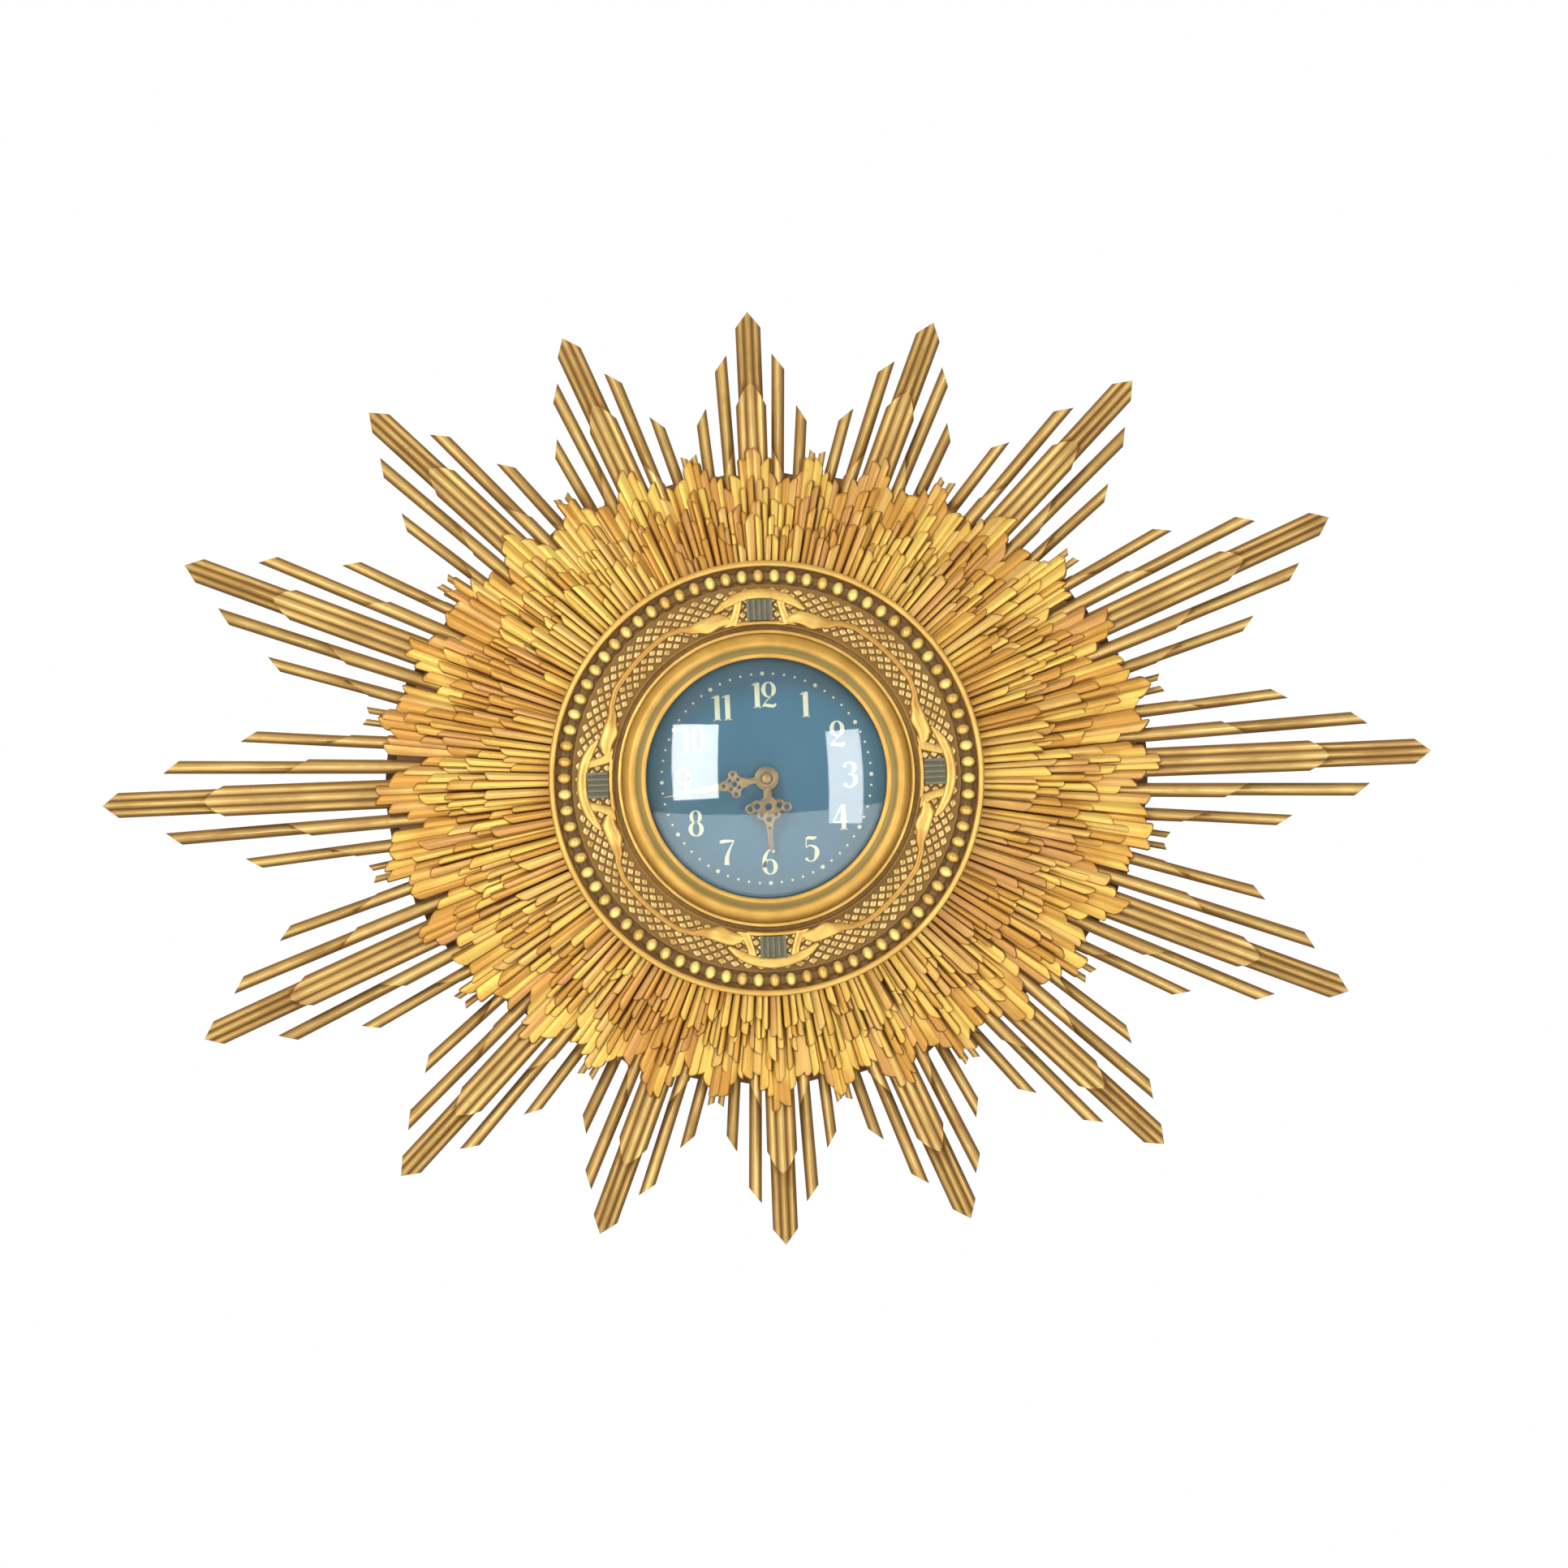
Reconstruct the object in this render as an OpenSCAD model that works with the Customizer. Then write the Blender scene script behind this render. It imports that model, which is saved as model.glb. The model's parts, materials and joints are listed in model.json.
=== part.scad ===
// Sunburst wall clock: carved gilt ray bundles round a beaded ring, dial, hands and a battery movement.
// Millimetres. The wall is the plane y = 0, the clock faces -Y, and the dial axis is the line x = 0, z = 0.
// Inside the modules the work is done face up: x right, y up, z towards the viewer, and face() stands it up.

/* [Burst] */
// width over the two side rays
burst_w = 751; // [735:1:765]
// height over the top and bottom rays
burst_h = 527; // [520:1:540]
// width of the long ray in the middle of each bundle
main_ray_w = 14.2; // [12:0.1:15]
// width of the two rays beside it
inner_flank_w = 7.3; // [6:0.1:8]
// width of the outermost rays of a bundle
outer_flank_w = 6.4; // [5:0.1:7]
// length of the pointed end of the long ray
main_point = 9; // [6:0.5:14]
// length of the slanted end of the other rays
flank_slant = 9; // [5:0.5:12]
// part of the full length that the inner flanks reach
inner_reach = 0.91; // [0.86:0.01:0.94]
// part of the full length that the outer flanks reach
outer_reach = 0.80; // [0.76:0.01:0.84]
// part of the full length that the upper step of the long ray reaches
step_reach = 0.815; // [0.78:0.005:0.84]
// depth of the pleats carved in the long ray
main_pleat = 3.0; // [2:0.1:3.4]
// depth of the pleats carved in the other rays
flank_pleat = 2.4; // [1.5:0.1:3]
// fall of the ray crests from the ring outward, mm per mm
crest_fall = 0.02; // [0.010:0.002:0.022]
// fingers in one layer of the inner field, per bundle
fingers_per_bundle = 8; // [6:1:9]
// chooses the scatter of finger lengths
scatter_seed = 11; // [1:1:99]

/* [Ring] */
// outer radius of the turned ring
ring_r = 122; // [120:0.5:124]
// radius of one bead
bead_r = 3; // [2.4:0.1:3.2]
// number of beads
bead_count = 78; // [60:2:84]
// diamonds in one row of the trellis band
trellis_count = 90; // [72:2:96]
// rows of diamonds in the trellis band
trellis_rows = 7; // [5:1:8]
// width of a tablet along the band
tablet_w = 14.5; // [12:0.5:16]
// width of the carved strap
strap_w = 3.2; // [2.4:0.1:4]

/* [Dial] */
// outer radius of the brass bezel as a share of the ring's outer radius
bezel_share = 0.6623; // [0.655:0.001:0.664]
// width of the bezel's lip over the edge of the glass
lip_w = 4.3; // [3.5:0.1:5.5]
// rise of the domed glass
glass_rise = 14; // [10:0.5:18]
// thickness of the glass
glass_t = 2; // [1.5:0.1:2.5]

/* [Hands] */
// length of the minute hand from the axis
minute_len = 58; // [50:1:62]
// length of the hour hand from the axis
hour_len = 42; // [38:1:46]
// minute hand, degrees clockwise from twelve
minute_at = 261.7; // [0:0.1:360]
// hour hand, degrees clockwise from twelve
hour_at = 178.4; // [0:0.1:360]

/* [Movement] */
// width and height of the square movement case
case_w = 58; // [57:0.5:60]
// thickness of the movement case
case_t = 16; // [16:0.5:17]
// radial clearance of every running fit
run_fit = 0.05; // [0.03:0.01:0.08]
// radius of the setting knob
knob_r = 7; // [5.5:0.5:8]

/* [Back] */
// radius of the round backing board
board_r = 150; // [140:1:155]
// radius of the hole in the backing board
board_hole_r = 70; // [66:1:70]
// radius of the round part of the keyhole in the hanger plate
keyhole_r = 4.5; // [4:0.1:5]

/* [Hidden] */
$fn = 96;
touch = 0.02;

// heights above the wall, from the back to the front
board_t = 9;
crest_1 = 20.5;
crest_2 = 27;
crest_3 = 33;
crest_4 = 38;
ledge_z = 33;
plate_t = 3;
dial_t = 1;
dial_z = ledge_z + plate_t + dial_t;
bezel_z = 42;
band_z = 43;
channel_z = 41.5;
trellis_t = 1.2;
strap_t = 1.9;
washer_t = 1;
case_front = ledge_z - washer_t;
case_back = case_front - case_t;
wall_t = 1.2;
case_in = case_front - wall_t;
cover_t = 1.2;

// radii that fitted pieces share
bezel_r = bezel_share * ring_r;
burst_in = ring_r - 17;
crest_ref = ring_r - 2;
step_ref = 0.245 * burst_w;
spigot_r = burst_in - 1;
channel_out = 0.9705 * ring_r;
channel_in = 0.8902 * ring_r;
bead_row_r = (channel_out + channel_in) / 2 - 0.3;
band_in = bezel_r + 5.2;
rebate_r = bezel_r - 6.2;
ledge_r = rebate_r - 4.6;
plate_screw_r = (rebate_r + ledge_r) / 2;
frame_screw_r = (ledge_r + spigot_r) / 2;
glass_r = bezel_r - 9.3;
skirt_in = glass_r + 0.5;
sight_r = glass_r - lip_w;
seat_in = glass_r - 3.1;
bush_r = 4;
hour_tube_r = 2.2;
minute_arbor_r = 1.3;
pitch = 22.5;

// teeth and modules of the train, from the rotor to the hour wheel; share keeps it all in step with the case
rotor_z = 6;
inter_z = 30;
inter_p = 6;
second_z = 36;
second_p = 8;
third_z = 60;
third_p = 8;
minute_z = 64;
minute_p = 12;
motion_z = 36;
motion_p = 10;
hour_z = 40;
knob_p = 12;
share = case_w / 58;
m_fine = 0.3 * share;
m_min = 0.32 * share;
m_mot = 0.32 * share;
m_hour = m_mot * (minute_p + motion_z) / (motion_p + hour_z);

function at(p, d, r) = [p[0] + r * cos(d), p[1] + r * sin(d)];
dir_motion = 150;
dir_knob = 150;
dir_third = 55;
dir_second = 150;
dir_inter = 160;
dir_rotor = 190;
c_min = [0, 0];
c_mot = at(c_min, dir_motion, m_mot * (minute_p + motion_z) / 2);
c_knob = at(c_mot, dir_knob, m_mot * (motion_z + knob_p) / 2);
c_third = at(c_min, dir_third, m_min * (minute_z + third_p) / 2);
c_sec = at(c_third, dir_second, m_fine * (third_z + second_p) / 2);
c_int = at(c_sec, dir_inter, m_fine * (second_z + inter_p) / 2);
c_rot = at(c_int, dir_rotor, m_fine * (inter_z + rotor_z) / 2);

// phase of a driven gear so that its gap faces the tooth of the gear it meets
function meshed(p, z1, z2, d) = d + 180 - (0.5 - (d - p) * z1 / 360) * 360 / z2;
ph_min = 0;
ph_third_p = meshed(ph_min, minute_z, third_p, dir_third);
ph_third = 0;
ph_sec_p = meshed(ph_third, third_z, second_p, dir_second);
ph_sec = 0;
ph_int_p = meshed(ph_sec, second_z, inter_p, dir_inter);
ph_int = 0;
ph_rot = meshed(ph_int, inter_z, rotor_z, dir_rotor);
ph_min_p = 0;
ph_mot = meshed(ph_min_p, minute_p, motion_z, dir_motion);
ph_mot_p = 0;
ph_hour = meshed(ph_mot_p, motion_p, hour_z, dir_motion + 180);
ph_knob = meshed(ph_mot, motion_z, knob_p, dir_knob);

module face() {
    rotate([90, 0, 0])
        children();
}

// radius of an upright ellipse at an angle clockwise from twelve
function oval(a, hw, hh) = hw * hh / sqrt(pow(hh * sin(a), 2) + pow(hw * cos(a), 2));
function tips(a) = oval(a, burst_w / 2, burst_h / 2);
function root(a) = oval(a, 0.3 * burst_w, 0.336 * burst_h);
function web(a) = oval(a, 0.309 * burst_w, 0.353 * burst_h);
function point(r, a) = [r * sin(a), r * cos(a)];
function blend(v, u) = lookup(u, [[0, v[0]], [0.5, v[1]], [1, v[2]]]);

// a ray is [angle where it crosses step_ref, direction, width, reach, end drops, pleat depth, pleat profile]
plain = [0, 1, 0];
fluted = [0, 0.9, 0.35, 1, 0.35, 0.9, 0];
function foot(ray) = point(step_ref, ray[0]);
function on_ray(ray, s, u) =
    let (f = foot(ray), x = ray[2] * (u - 0.5), k = s - step_ref)
    [f[0] + k * sin(ray[1]) + x * cos(ray[1]), f[1] + k * cos(ray[1]) - x * sin(ray[1])];
function lift(p, z) = [p[0], p[1], z];
function cols(ray) = len(ray[6]) - 1;
function total(v, k) = k == 0 ? 0 : v[k - 1] + total(v, k - 1);
function crest(z, s) = z - crest_fall * (s - crest_ref);

// one carved layer of rays: a pleated top, walls round each ray, and webs between them up to the gap radii
module rays(ray, edge, gap, top, under, under_fall, ring = false) {
    n = len(ray);
    m = ring ? n : n + 1;
    own = [for (k = [0:n - 1]) 4 * cols(ray[k]) + 4];
    start = [for (k = 0, b = 2 * m; k < n; b = b + own[k], k = k + 1) b];
    function low(s) = under - under_fall * (s - crest_ref);
    function gl(k) = gap[k];
    function gr(k) = gap[k + 1];
    edges = [for (k = [0:m - 1]) each [
        lift(point(burst_in, edge[k]), crest(top, burst_in) - 0.4 * ray[min(k, n - 1)][5]),
        lift(point(burst_in, edge[k]), low(burst_in))]];
    inner = [for (k = [0:n - 1]) let (r = ray[k], c = cols(r)) [for (i = [1:1:c - 1])
        lift(point(burst_in, edge[k] + (edge[k + 1] - edge[k]) * i / c),
            crest(top, burst_in) - 0.4 * r[5] * (1 - r[6][i]))]];
    mid = [for (k = [0:n - 1]) let (r = ray[k], c = cols(r)) [for (i = [0:c])
        let (s = gl(k) + (gr(k) - gl(k)) * i / c)
        lift(on_ray(r, s, i / c), crest(top, s) - r[5] * (1 - r[6][i]))]];
    ends = [for (k = [0:n - 1]) let (r = ray[k], c = cols(r)) [for (i = [0:c])
        let (s = r[3] - blend(r[4], i / c))
        lift(on_ray(r, s, i / c), crest(top, s) - r[5] * (1 - r[6][i]))]];
    below_mid = [for (k = [0:n - 1]) let (r = ray[k]) [
        lift(on_ray(r, gl(k), 0), low(gl(k))), lift(on_ray(r, gr(k), 1), low(gr(k)))]];
    below_end = [for (k = [0:n - 1]) let (r = ray[k], c = cols(r)) [for (i = [0:c])
        let (s = r[3] - blend(r[4], i / c))
        lift(on_ray(r, s, i / c), low(s))]];
    pts = concat(edges,
        [for (k = [0:n - 1]) each concat(inner[k], mid[k], ends[k], below_mid[k], below_end[k])]);
    function vt(k) = 2 * (k % m);
    function vb(k) = 2 * (k % m) + 1;
    function ti(k, i) = i == 0 ? vt(k) : i == cols(ray[k]) ? vt(k + 1) : start[k] + i - 1;
    function tg(k, i) = start[k] + cols(ray[k]) - 1 + i;
    function te(k, i) = start[k] + 2 * cols(ray[k]) + i;
    function bg(k, i) = start[k] + 3 * cols(ray[k]) + 1 + i;
    function be(k, i) = start[k] + 3 * cols(ray[k]) + 3 + i;
    function four(a, b, c, d) = [[a, b, c], [a, c, d]];
    faces = [for (k = [0:n - 1]) let (c = cols(ray[k])) each concat(
        [for (i = [0:c - 1]) each four(ti(k, i), tg(k, i), tg(k, i + 1), ti(k, i + 1))],
        [for (i = [0:c - 1]) each four(tg(k, i), te(k, i), te(k, i + 1), tg(k, i + 1))],
        [[vb(k), vb(k + 1), bg(k, 1)], [vb(k), bg(k, 1), bg(k, 0)], [bg(k, 0), bg(k, 1), be(k, c)]],
        [for (i = [c:-1:1]) [bg(k, 0), be(k, i), be(k, i - 1)]],
        [for (i = [0:c - 1]) each four(be(k, i), be(k, i + 1), te(k, i + 1), te(k, i))],
        four(bg(k, 0), be(k, 0), te(k, 0), tg(k, 0)),
        four(bg(k, 1), tg(k, c), te(k, c), be(k, c)),
        [for (i = [0:c - 1]) [vb(k), ti(k, i), ti(k, i + 1)]],
        [[vb(k), vt(k + 1), vb(k + 1)]])];
    webs = [for (k = [0:(ring ? n - 1 : n - 2)]) let (c = cols(ray[k]), q = (k + 1) % n) each concat(
        [[vt(k + 1), tg(k, c), tg(q, 0)], [vb(k + 1), bg(q, 0), bg(k, 1)]],
        four(bg(k, 1), bg(q, 0), tg(q, 0), tg(k, c)))];
    sides = ring ? [] : concat(
        four(vb(0), bg(0, 0), tg(0, 0), vt(0)),
        four(vb(n), vt(n), tg(n - 1, cols(ray[n - 1])), bg(n - 1, 1)));
    polyhedron(points = pts, faces = concat(faces, webs, sides), convexity = 10);
}

// five long rays with a short finger on either side
function lower_rays(a) = [
    for (s = [-1, 1], j = (s < 0 ? [3, 2, 1] : [0, 1, 2, 3])) bundle_ray(a, s, j)];
function bundle_ray(a, s, j) =
    j == 0 ? [a, a, main_ray_w, tips(a), [main_point, 0, main_point], main_pleat, fluted] :
    j == 1 ? flank(a, s, 4.4, 2.3, inner_flank_w, inner_reach * tips(a + 3.6 * s), flank_slant, flank_pleat) :
    j == 2 ? flank(a, s, 8.2, 5, outer_flank_w, outer_reach * tips(a + 7.2 * s), flank_slant, flank_pleat) :
    flank(a, s, 10.4, 10.4, 3.6, web(a + 10.4 * s), 2, 1.6);
function flank(a, s, off, lean, w, reach, slant, pleat) =
    [a + s * off, a + s * lean, w, reach,
        s > 0 ? [0, slant / 2, slant] : [slant, slant / 2, 0], pleat, plain];
function upper_rays(a) = [
    for (s = [-1, 1], j = (s < 0 ? [3, 2, 1] : [0, 1, 2, 3])) step_ray(a, s, j)];
function step_ray(a, s, j) =
    j == 0 ? [a, a, main_ray_w + 2.4, step_reach * tips(a), [main_point + 2, 0, main_point + 2],
        main_pleat, fluted] :
    j == 1 ? flank(a, s, 4.5, 2.3, inner_flank_w + 0.6, 0.70 * tips(a + 4 * s), flank_slant, flank_pleat) :
    j == 2 ? flank(a, s, 8.3, 5, outer_flank_w + 0.5, 0.666 * tips(a + 8 * s), flank_slant, flank_pleat) :
    flank(a, s, 10.4, 10.4, 3.4, 0.93 * web(a + 10.4 * s), 2, 1.4);
function bundle_edge(a) = [for (e = [-11.2, -9.7, -6.3, -2.5, 2.5, 6.3, 9.7, 11.2]) a + e];
function bundle_gap(a, k) = [for (e = [-11.2, -9.7, -6.3, -2.5, 2.5, 6.3, 9.7, 11.2])
    k * (abs(e) > 11 ? 0.88 * root(a + e) : abs(e) > 9 ? 0.95 * root(a + e) : root(a + e))];

module bundle(i) {
    a = i * pitch;
    color([0.80, 0.60, 0.22])
        face() {
            rays(lower_rays(a), bundle_edge(a), bundle_gap(a, 1), crest_1, board_t, 0);
            rays(upper_rays(a), bundle_edge(a), bundle_gap(a, 0.95), crest_2, crest_1 - 0.5, crest_fall);
        }
}

// a full ring of fingers of scattered length, each reaching a share of its own ellipse
module fingers(reach, shift, top, under) {
    n = 16 * fingers_per_bundle;
    step = 360 / n;
    centre = [for (k = [0:n - 1]) (k + shift) * step];
    edge = [for (k = [0:n]) (k + shift - 0.5) * step];
    gap = [for (k = [0:n]) 0.93 * min(reach[(k + n - 1) % n], reach[k % n])];
    list = [for (k = [0:n - 1])
        let (w = 0.93 * step * PI / 180 * min(gap[k], gap[k + 1]))
        [centre[k], centre[k], w, reach[k], [0.32 * w, 0, 0.32 * w], 1.9, plain]];
    color([0.90, 0.71, 0.28])
        face()
            rays(list, edge, gap, top, under, crest_fall, true);
}

function near_axis(a) = abs(a - pitch * round(a / pitch));
module finger_field_back() {
    n = 16 * fingers_per_bundle;
    chance = rands(0.90, 1.0, n, scatter_seed);
    reach = [for (k = [0:n - 1]) let (a = (k + 0.5) * 360 / n, d = near_axis(a))
        d < 1.6 ? 0.68 * tips(a) :
        chance[k] * (d < 6 ? 1 : 0.95) * oval(a, 0.296 * burst_w, 0.336 * burst_h)];
    fingers(reach, 0.5, crest_3, crest_2 + touch);
}

module finger_field_front() {
    n = 16 * fingers_per_bundle;
    chance = rands(0.80, 1.0, n, scatter_seed + 1);
    reach = [for (k = [0:n - 1]) chance[k] * oval(k * 360 / n, 0.261 * burst_w, 0.304 * burst_h)];
    fingers(reach, 0, crest_4, crest_3 + touch);
}

// ring
module ring_frame() {
    under_in = crest(crest_4, spigot_r) + touch;
    under_out = crest(crest_4, ring_r) + touch;
    rim = [for (a = [0:15:165]) [ring_r - 1.8 + 1.8 * cos(a), 44.2 + 1.8 * sin(a)]];
    color([0.76, 0.57, 0.22])
        face()
            difference() {
                rotate_extrude($fn = 144)
                    polygon(concat(
                        [[ledge_r, board_t], [spigot_r, board_t], [spigot_r, under_in], [ring_r, under_out]],
                        rim,
                        [[channel_out, 43.6], [channel_out, channel_z]],
                        [[channel_in, channel_z], [channel_in, band_z]],
                        [[band_in, band_z], [band_in - 0.8, band_z - 1], [band_in - 2.6, band_z - 1]],
                        [[band_in - 3, band_z + 0.8], [bezel_r + 0.3, band_z + 0.8]],
                        [[bezel_r + 0.3, bezel_z]],
                        [[rebate_r, bezel_z], [rebate_r, ledge_z], [ledge_r, ledge_z]]));
                for (k = [0:3])
                    rotate(45 + 90 * k)
                        translate([plate_screw_r, 0, ledge_z - 9])
                            cylinder(r = 1.25, h = 10, $fn = 24);
                for (k = [0:5])
                    rotate(60 * k)
                        translate([frame_screw_r, 0, board_t - 1])
                            cylinder(r = 2, h = 20, $fn = 24);
            }
}

// a string of beads on a thin base, seated on the floor of the channel
module ring_beads() {
    color([0.93, 0.76, 0.34])
        face() {
            for (k = [0:bead_count - 1])
                rotate(360 * k / bead_count)
                    translate([bead_row_r, 0, channel_z])
                        intersection() {
                            translate([0, 0, 1.7])
                                sphere(r = bead_r, $fn = 24);
                            translate([-4, -4, 0])
                                cube([8, 8, 6]);
                        }
            rotate_extrude($fn = 144)
                translate([bead_row_r - 2, channel_z])
                    square([4, 1]);
        }
}

// one row of the trellis: diamonds joined at their corners, as a ring
module diamond_row(r, h, shift) {
    n = 2 * trellis_count;
    high = [for (k = [0:n - 1]) k % 2 == 0 ? h : 0.25];
    polygon(
        points = concat(
            [for (k = [0:n - 1]) point(r + high[k], (k + shift) * 360 / n)],
            [for (k = [0:n - 1]) point(r - high[k], (k + shift) * 360 / n)]),
        paths = [[for (k = [0:n - 1]) k], [for (k = [0:n - 1]) n + k]]);
}

module ring_trellis() {
    lo = band_in + 0.3;
    hi = channel_in - 0.2;
    step = (hi - lo - 1.2) / (trellis_rows + 1);
    color([0.70, 0.52, 0.20])
        face()
            translate([0, 0, band_z]) {
                rotate_extrude($fn = 144)
                    translate([lo, 0])
                        square([hi - lo, 0.7]);
                for (j = [0:trellis_rows - 1])
                    translate([0, 0, 0.5])
                        linear_extrude(trellis_t - 0.5)
                            diamond_row(lo + 0.6 + step * (j + 1), 0.75 * step, j % 2);
            }
}

// radius at a share of the band's width
function band(f) = band_in + f * (channel_in - band_in);

// radius of the strap's middle line and its half width, by the angle from the nearest tablet
function strap_mid(d) = band(lookup(d, [[0, 0.053], [9, 0.053], [11.5, 0.212], [14, 0.261], [19, 0.221],
    [24, 0.292], [28.5, 0.442], [33, 0.513], [45, 0.509]]));
function strap_half(d) = strap_w * lookup(d, [[0, 0.26], [9, 0.26], [11.5, 0.62], [14, 0.86], [19, 1],
    [24, 0.6], [28.5, 0.31], [45, 0.31]]);
function from_tablet(a) = abs(a - 90 * round(a / 90));

module ring_strap() {
    n = 240;
    line = [for (k = [0:n - 1]) 360 * k / n];
    function side(a, s) = let (d = from_tablet(a)) point(strap_mid(d) + s * strap_half(d), a);
    color([0.88, 0.69, 0.28])
        face()
            translate([0, 0, band_z + trellis_t])
                linear_extrude(strap_t)
                    union() {
                        polygon(
                            points = concat([for (a = line) side(a, 1)], [for (a = line) side(a, -1)]),
                            paths = [[for (k = [0:n - 1]) k], [for (k = [0:n - 1]) n + k]]);
                        for (q = [0:3])
                            rotate(90 * q) {
                                polygon(concat(
                                    [for (a = [-14:2:14]) point(band(0.85 - 0.26 * pow(a / 14, 2)), a)],
                                    [for (a = [14:-2:-14]) point(band(0.677 - 0.2 * pow(a / 14, 2)), a)]));
                                for (s = [-1, 1])
                                    polygon([point(band(0.7), 5.2 * s), point(band(0.7), 7.6 * s),
                                        point(band(0.05), 12.2 * s), point(band(0.05), 8.6 * s)]);
                            }
                    }
}

module tablet(i) {
    low = band(0.106);
    high = band(0.633);
    color([0.40, 0.42, 0.33])
        face()
            rotate(-90 * i)
                translate([0, low, band_z + trellis_t])
                    difference() {
                        translate([-tablet_w / 2, 0, 0])
                            cube([tablet_w, high - low, 2.2]);
                        for (k = [-1.5:1:1.5])
                            translate([k * tablet_w / 4.6, high - low + 1, 2.6])
                                rotate([90, 0, 0])
                                    cylinder(r = 1, h = high - low + 2, $fn = 24);
                    }
}

// dial side
dome_r = (pow(glass_r, 2) + pow(glass_rise, 2)) / (2 * glass_rise);
glass_edge = 46.9;
dome_c = glass_edge - (dome_r - glass_rise);
function dome(r, x) = dome_c + sqrt(r * r - x * x);

module bezel() {
    lip = dome(dome_r, sight_r) + 0.05;
    color([0.85, 0.66, 0.26])
        face()
            rotate_extrude($fn = 144)
                polygon(concat(
                    [[skirt_in, dial_z], [rebate_r - 0.3, dial_z], [rebate_r - 0.3, bezel_z]],
                    [for (c = [[0, 0], [0, 3.4], [-0.5, 5.9], [-1.6, 8], [-3.2, 9.6], [-5, 10.3],
                        [-6.6, 10.1], [-8, 9.2]]) [bezel_r + c[0], bezel_z + c[1]]],
                    [[glass_r, bezel_z + 8.4], [glass_r - 0.26 * lip_w, bezel_z + 8.1]],
                    [[glass_r - 0.49 * lip_w, bezel_z + 8.6], [glass_r - 0.72 * lip_w, lip + 2]],
                    [[sight_r + 0.3, lip + 1.7], [sight_r, lip + 1.1], [sight_r, lip]],
                    [[glass_r, glass_edge + 0.05], [skirt_in, glass_edge + 0.05]]));
}

module glass() {
    xs = [for (k = [0:24]) glass_r * k / 24];
    color([0.80, 0.90, 0.95, 0.35])
        face()
            rotate_extrude($fn = 144)
                polygon(concat(
                    [for (x = xs) [x, dome(dome_r, x)]],
                    [for (k = [24:-1:0]) [xs[k], dome(dome_r - glass_t, xs[k])]]));
}

module glass_seat() {
    under = dome(dome_r - glass_t, glass_r);
    color([0.42, 0.38, 0.24])
        face()
            rotate_extrude($fn = 144)
                polygon([[seat_in, dial_z], [skirt_in - 0.1, dial_z], [skirt_in - 0.1, under],
                    [glass_r, under], [seat_in, dome(dome_r - glass_t, seat_in) - 0.05]]);
}

module dial_plate() {
    color([0.33, 0.51, 0.63])
        face()
            translate([0, 0, dial_z - dial_t])
                difference() {
                    cylinder(r = rebate_r - 0.3, h = dial_t);
                    translate([0, 0, -1])
                        cylinder(r = bush_r + 0.2, h = 3, $fn = 48);
                }
}

module mounting_plate() {
    color([0.45, 0.33, 0.20])
        face()
            translate([0, 0, ledge_z])
                difference() {
                    cylinder(r = rebate_r - 0.3, h = plate_t);
                    translate([0, 0, -1])
                        cylinder(r = bush_r + 0.2, h = 5, $fn = 48);
                    for (k = [0:3])
                        rotate(45 + 90 * k)
                            translate([plate_screw_r, 0, 0]) {
                                translate([0, 0, -1])
                                    cylinder(r = 1.25, h = 5, $fn = 24);
                                translate([0, 0, plate_t - 1.2])
                                    cylinder(r1 = 1.25, r2 = 1.9, h = 1.2, $fn = 24);
                            }
                }
}

module plate_screws() {
    color([0.80, 0.72, 0.45])
        face()
            for (k = [0:3])
                rotate(45 + 90 * k)
                    translate([plate_screw_r, 0, ledge_z]) {
                        translate([0, 0, plate_t - 1.2])
                            cylinder(r1 = 1.25, r2 = 1.9, h = 1.2, $fn = 24);
                        translate([0, 0, -8])
                            cylinder(r = 1.25, h = 8 + plate_t - 1.2, $fn = 24);
                    }
}

// hands, drawn pointing up and turned to their place
hand_t = 0.8;
module disc(x, y, r) {
    translate([x, y, 0])
        cylinder(r = r, h = hand_t, $fn = 48);
}

module hole(x, y, r) {
    translate([x, y, -1])
        cylinder(r = r, h = hand_t + 2, $fn = 24);
}

module blade(y0, w0, y1, w1) {
    linear_extrude(hand_t)
        polygon([[-w0, y0], [-w1, y1], [w1, y1], [w0, y0]]);
}

module minute_hand() {
    k = minute_len / 58;
    color([0.72, 0.55, 0.28])
        face()
            rotate(-minute_at)
                translate([0, 0, 43.2])
                    difference() {
                        union() {
                            disc(0, 0, 5);
                            blade(3, 1.7, 13, 1.7);
                            disc(0, 18.2, 5.2);
                            for (s = [-1, 1])
                                disc(5.2 * s, 18.2, 2.6);
                            disc(0, 12.8, 2.8);
                            disc(0, 23.6, 2.9);
                            blade(23.1, 2.4, 37 * k, 1.2);
                            disc(0, 37 * k, 2);
                            blade(36.7 * k, 1, minute_len, 0.3);
                        }
                        hole(0, 0, minute_arbor_r);
                        hole(0, 18.2, 1.5);
                        for (a = [45:90:315])
                            hole(3.3 * cos(a), 18.2 + 3.3 * sin(a), 1.05);
                        for (s = [-1, 1])
                            hole(5.7 * s, 18.2, 1.2);
                        hole(0, 24.4, 1.1);
                        hole(0, 29.5, 0.8);
                        hole(0, 37.1 * k, 0.8);
                    }
}

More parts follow.
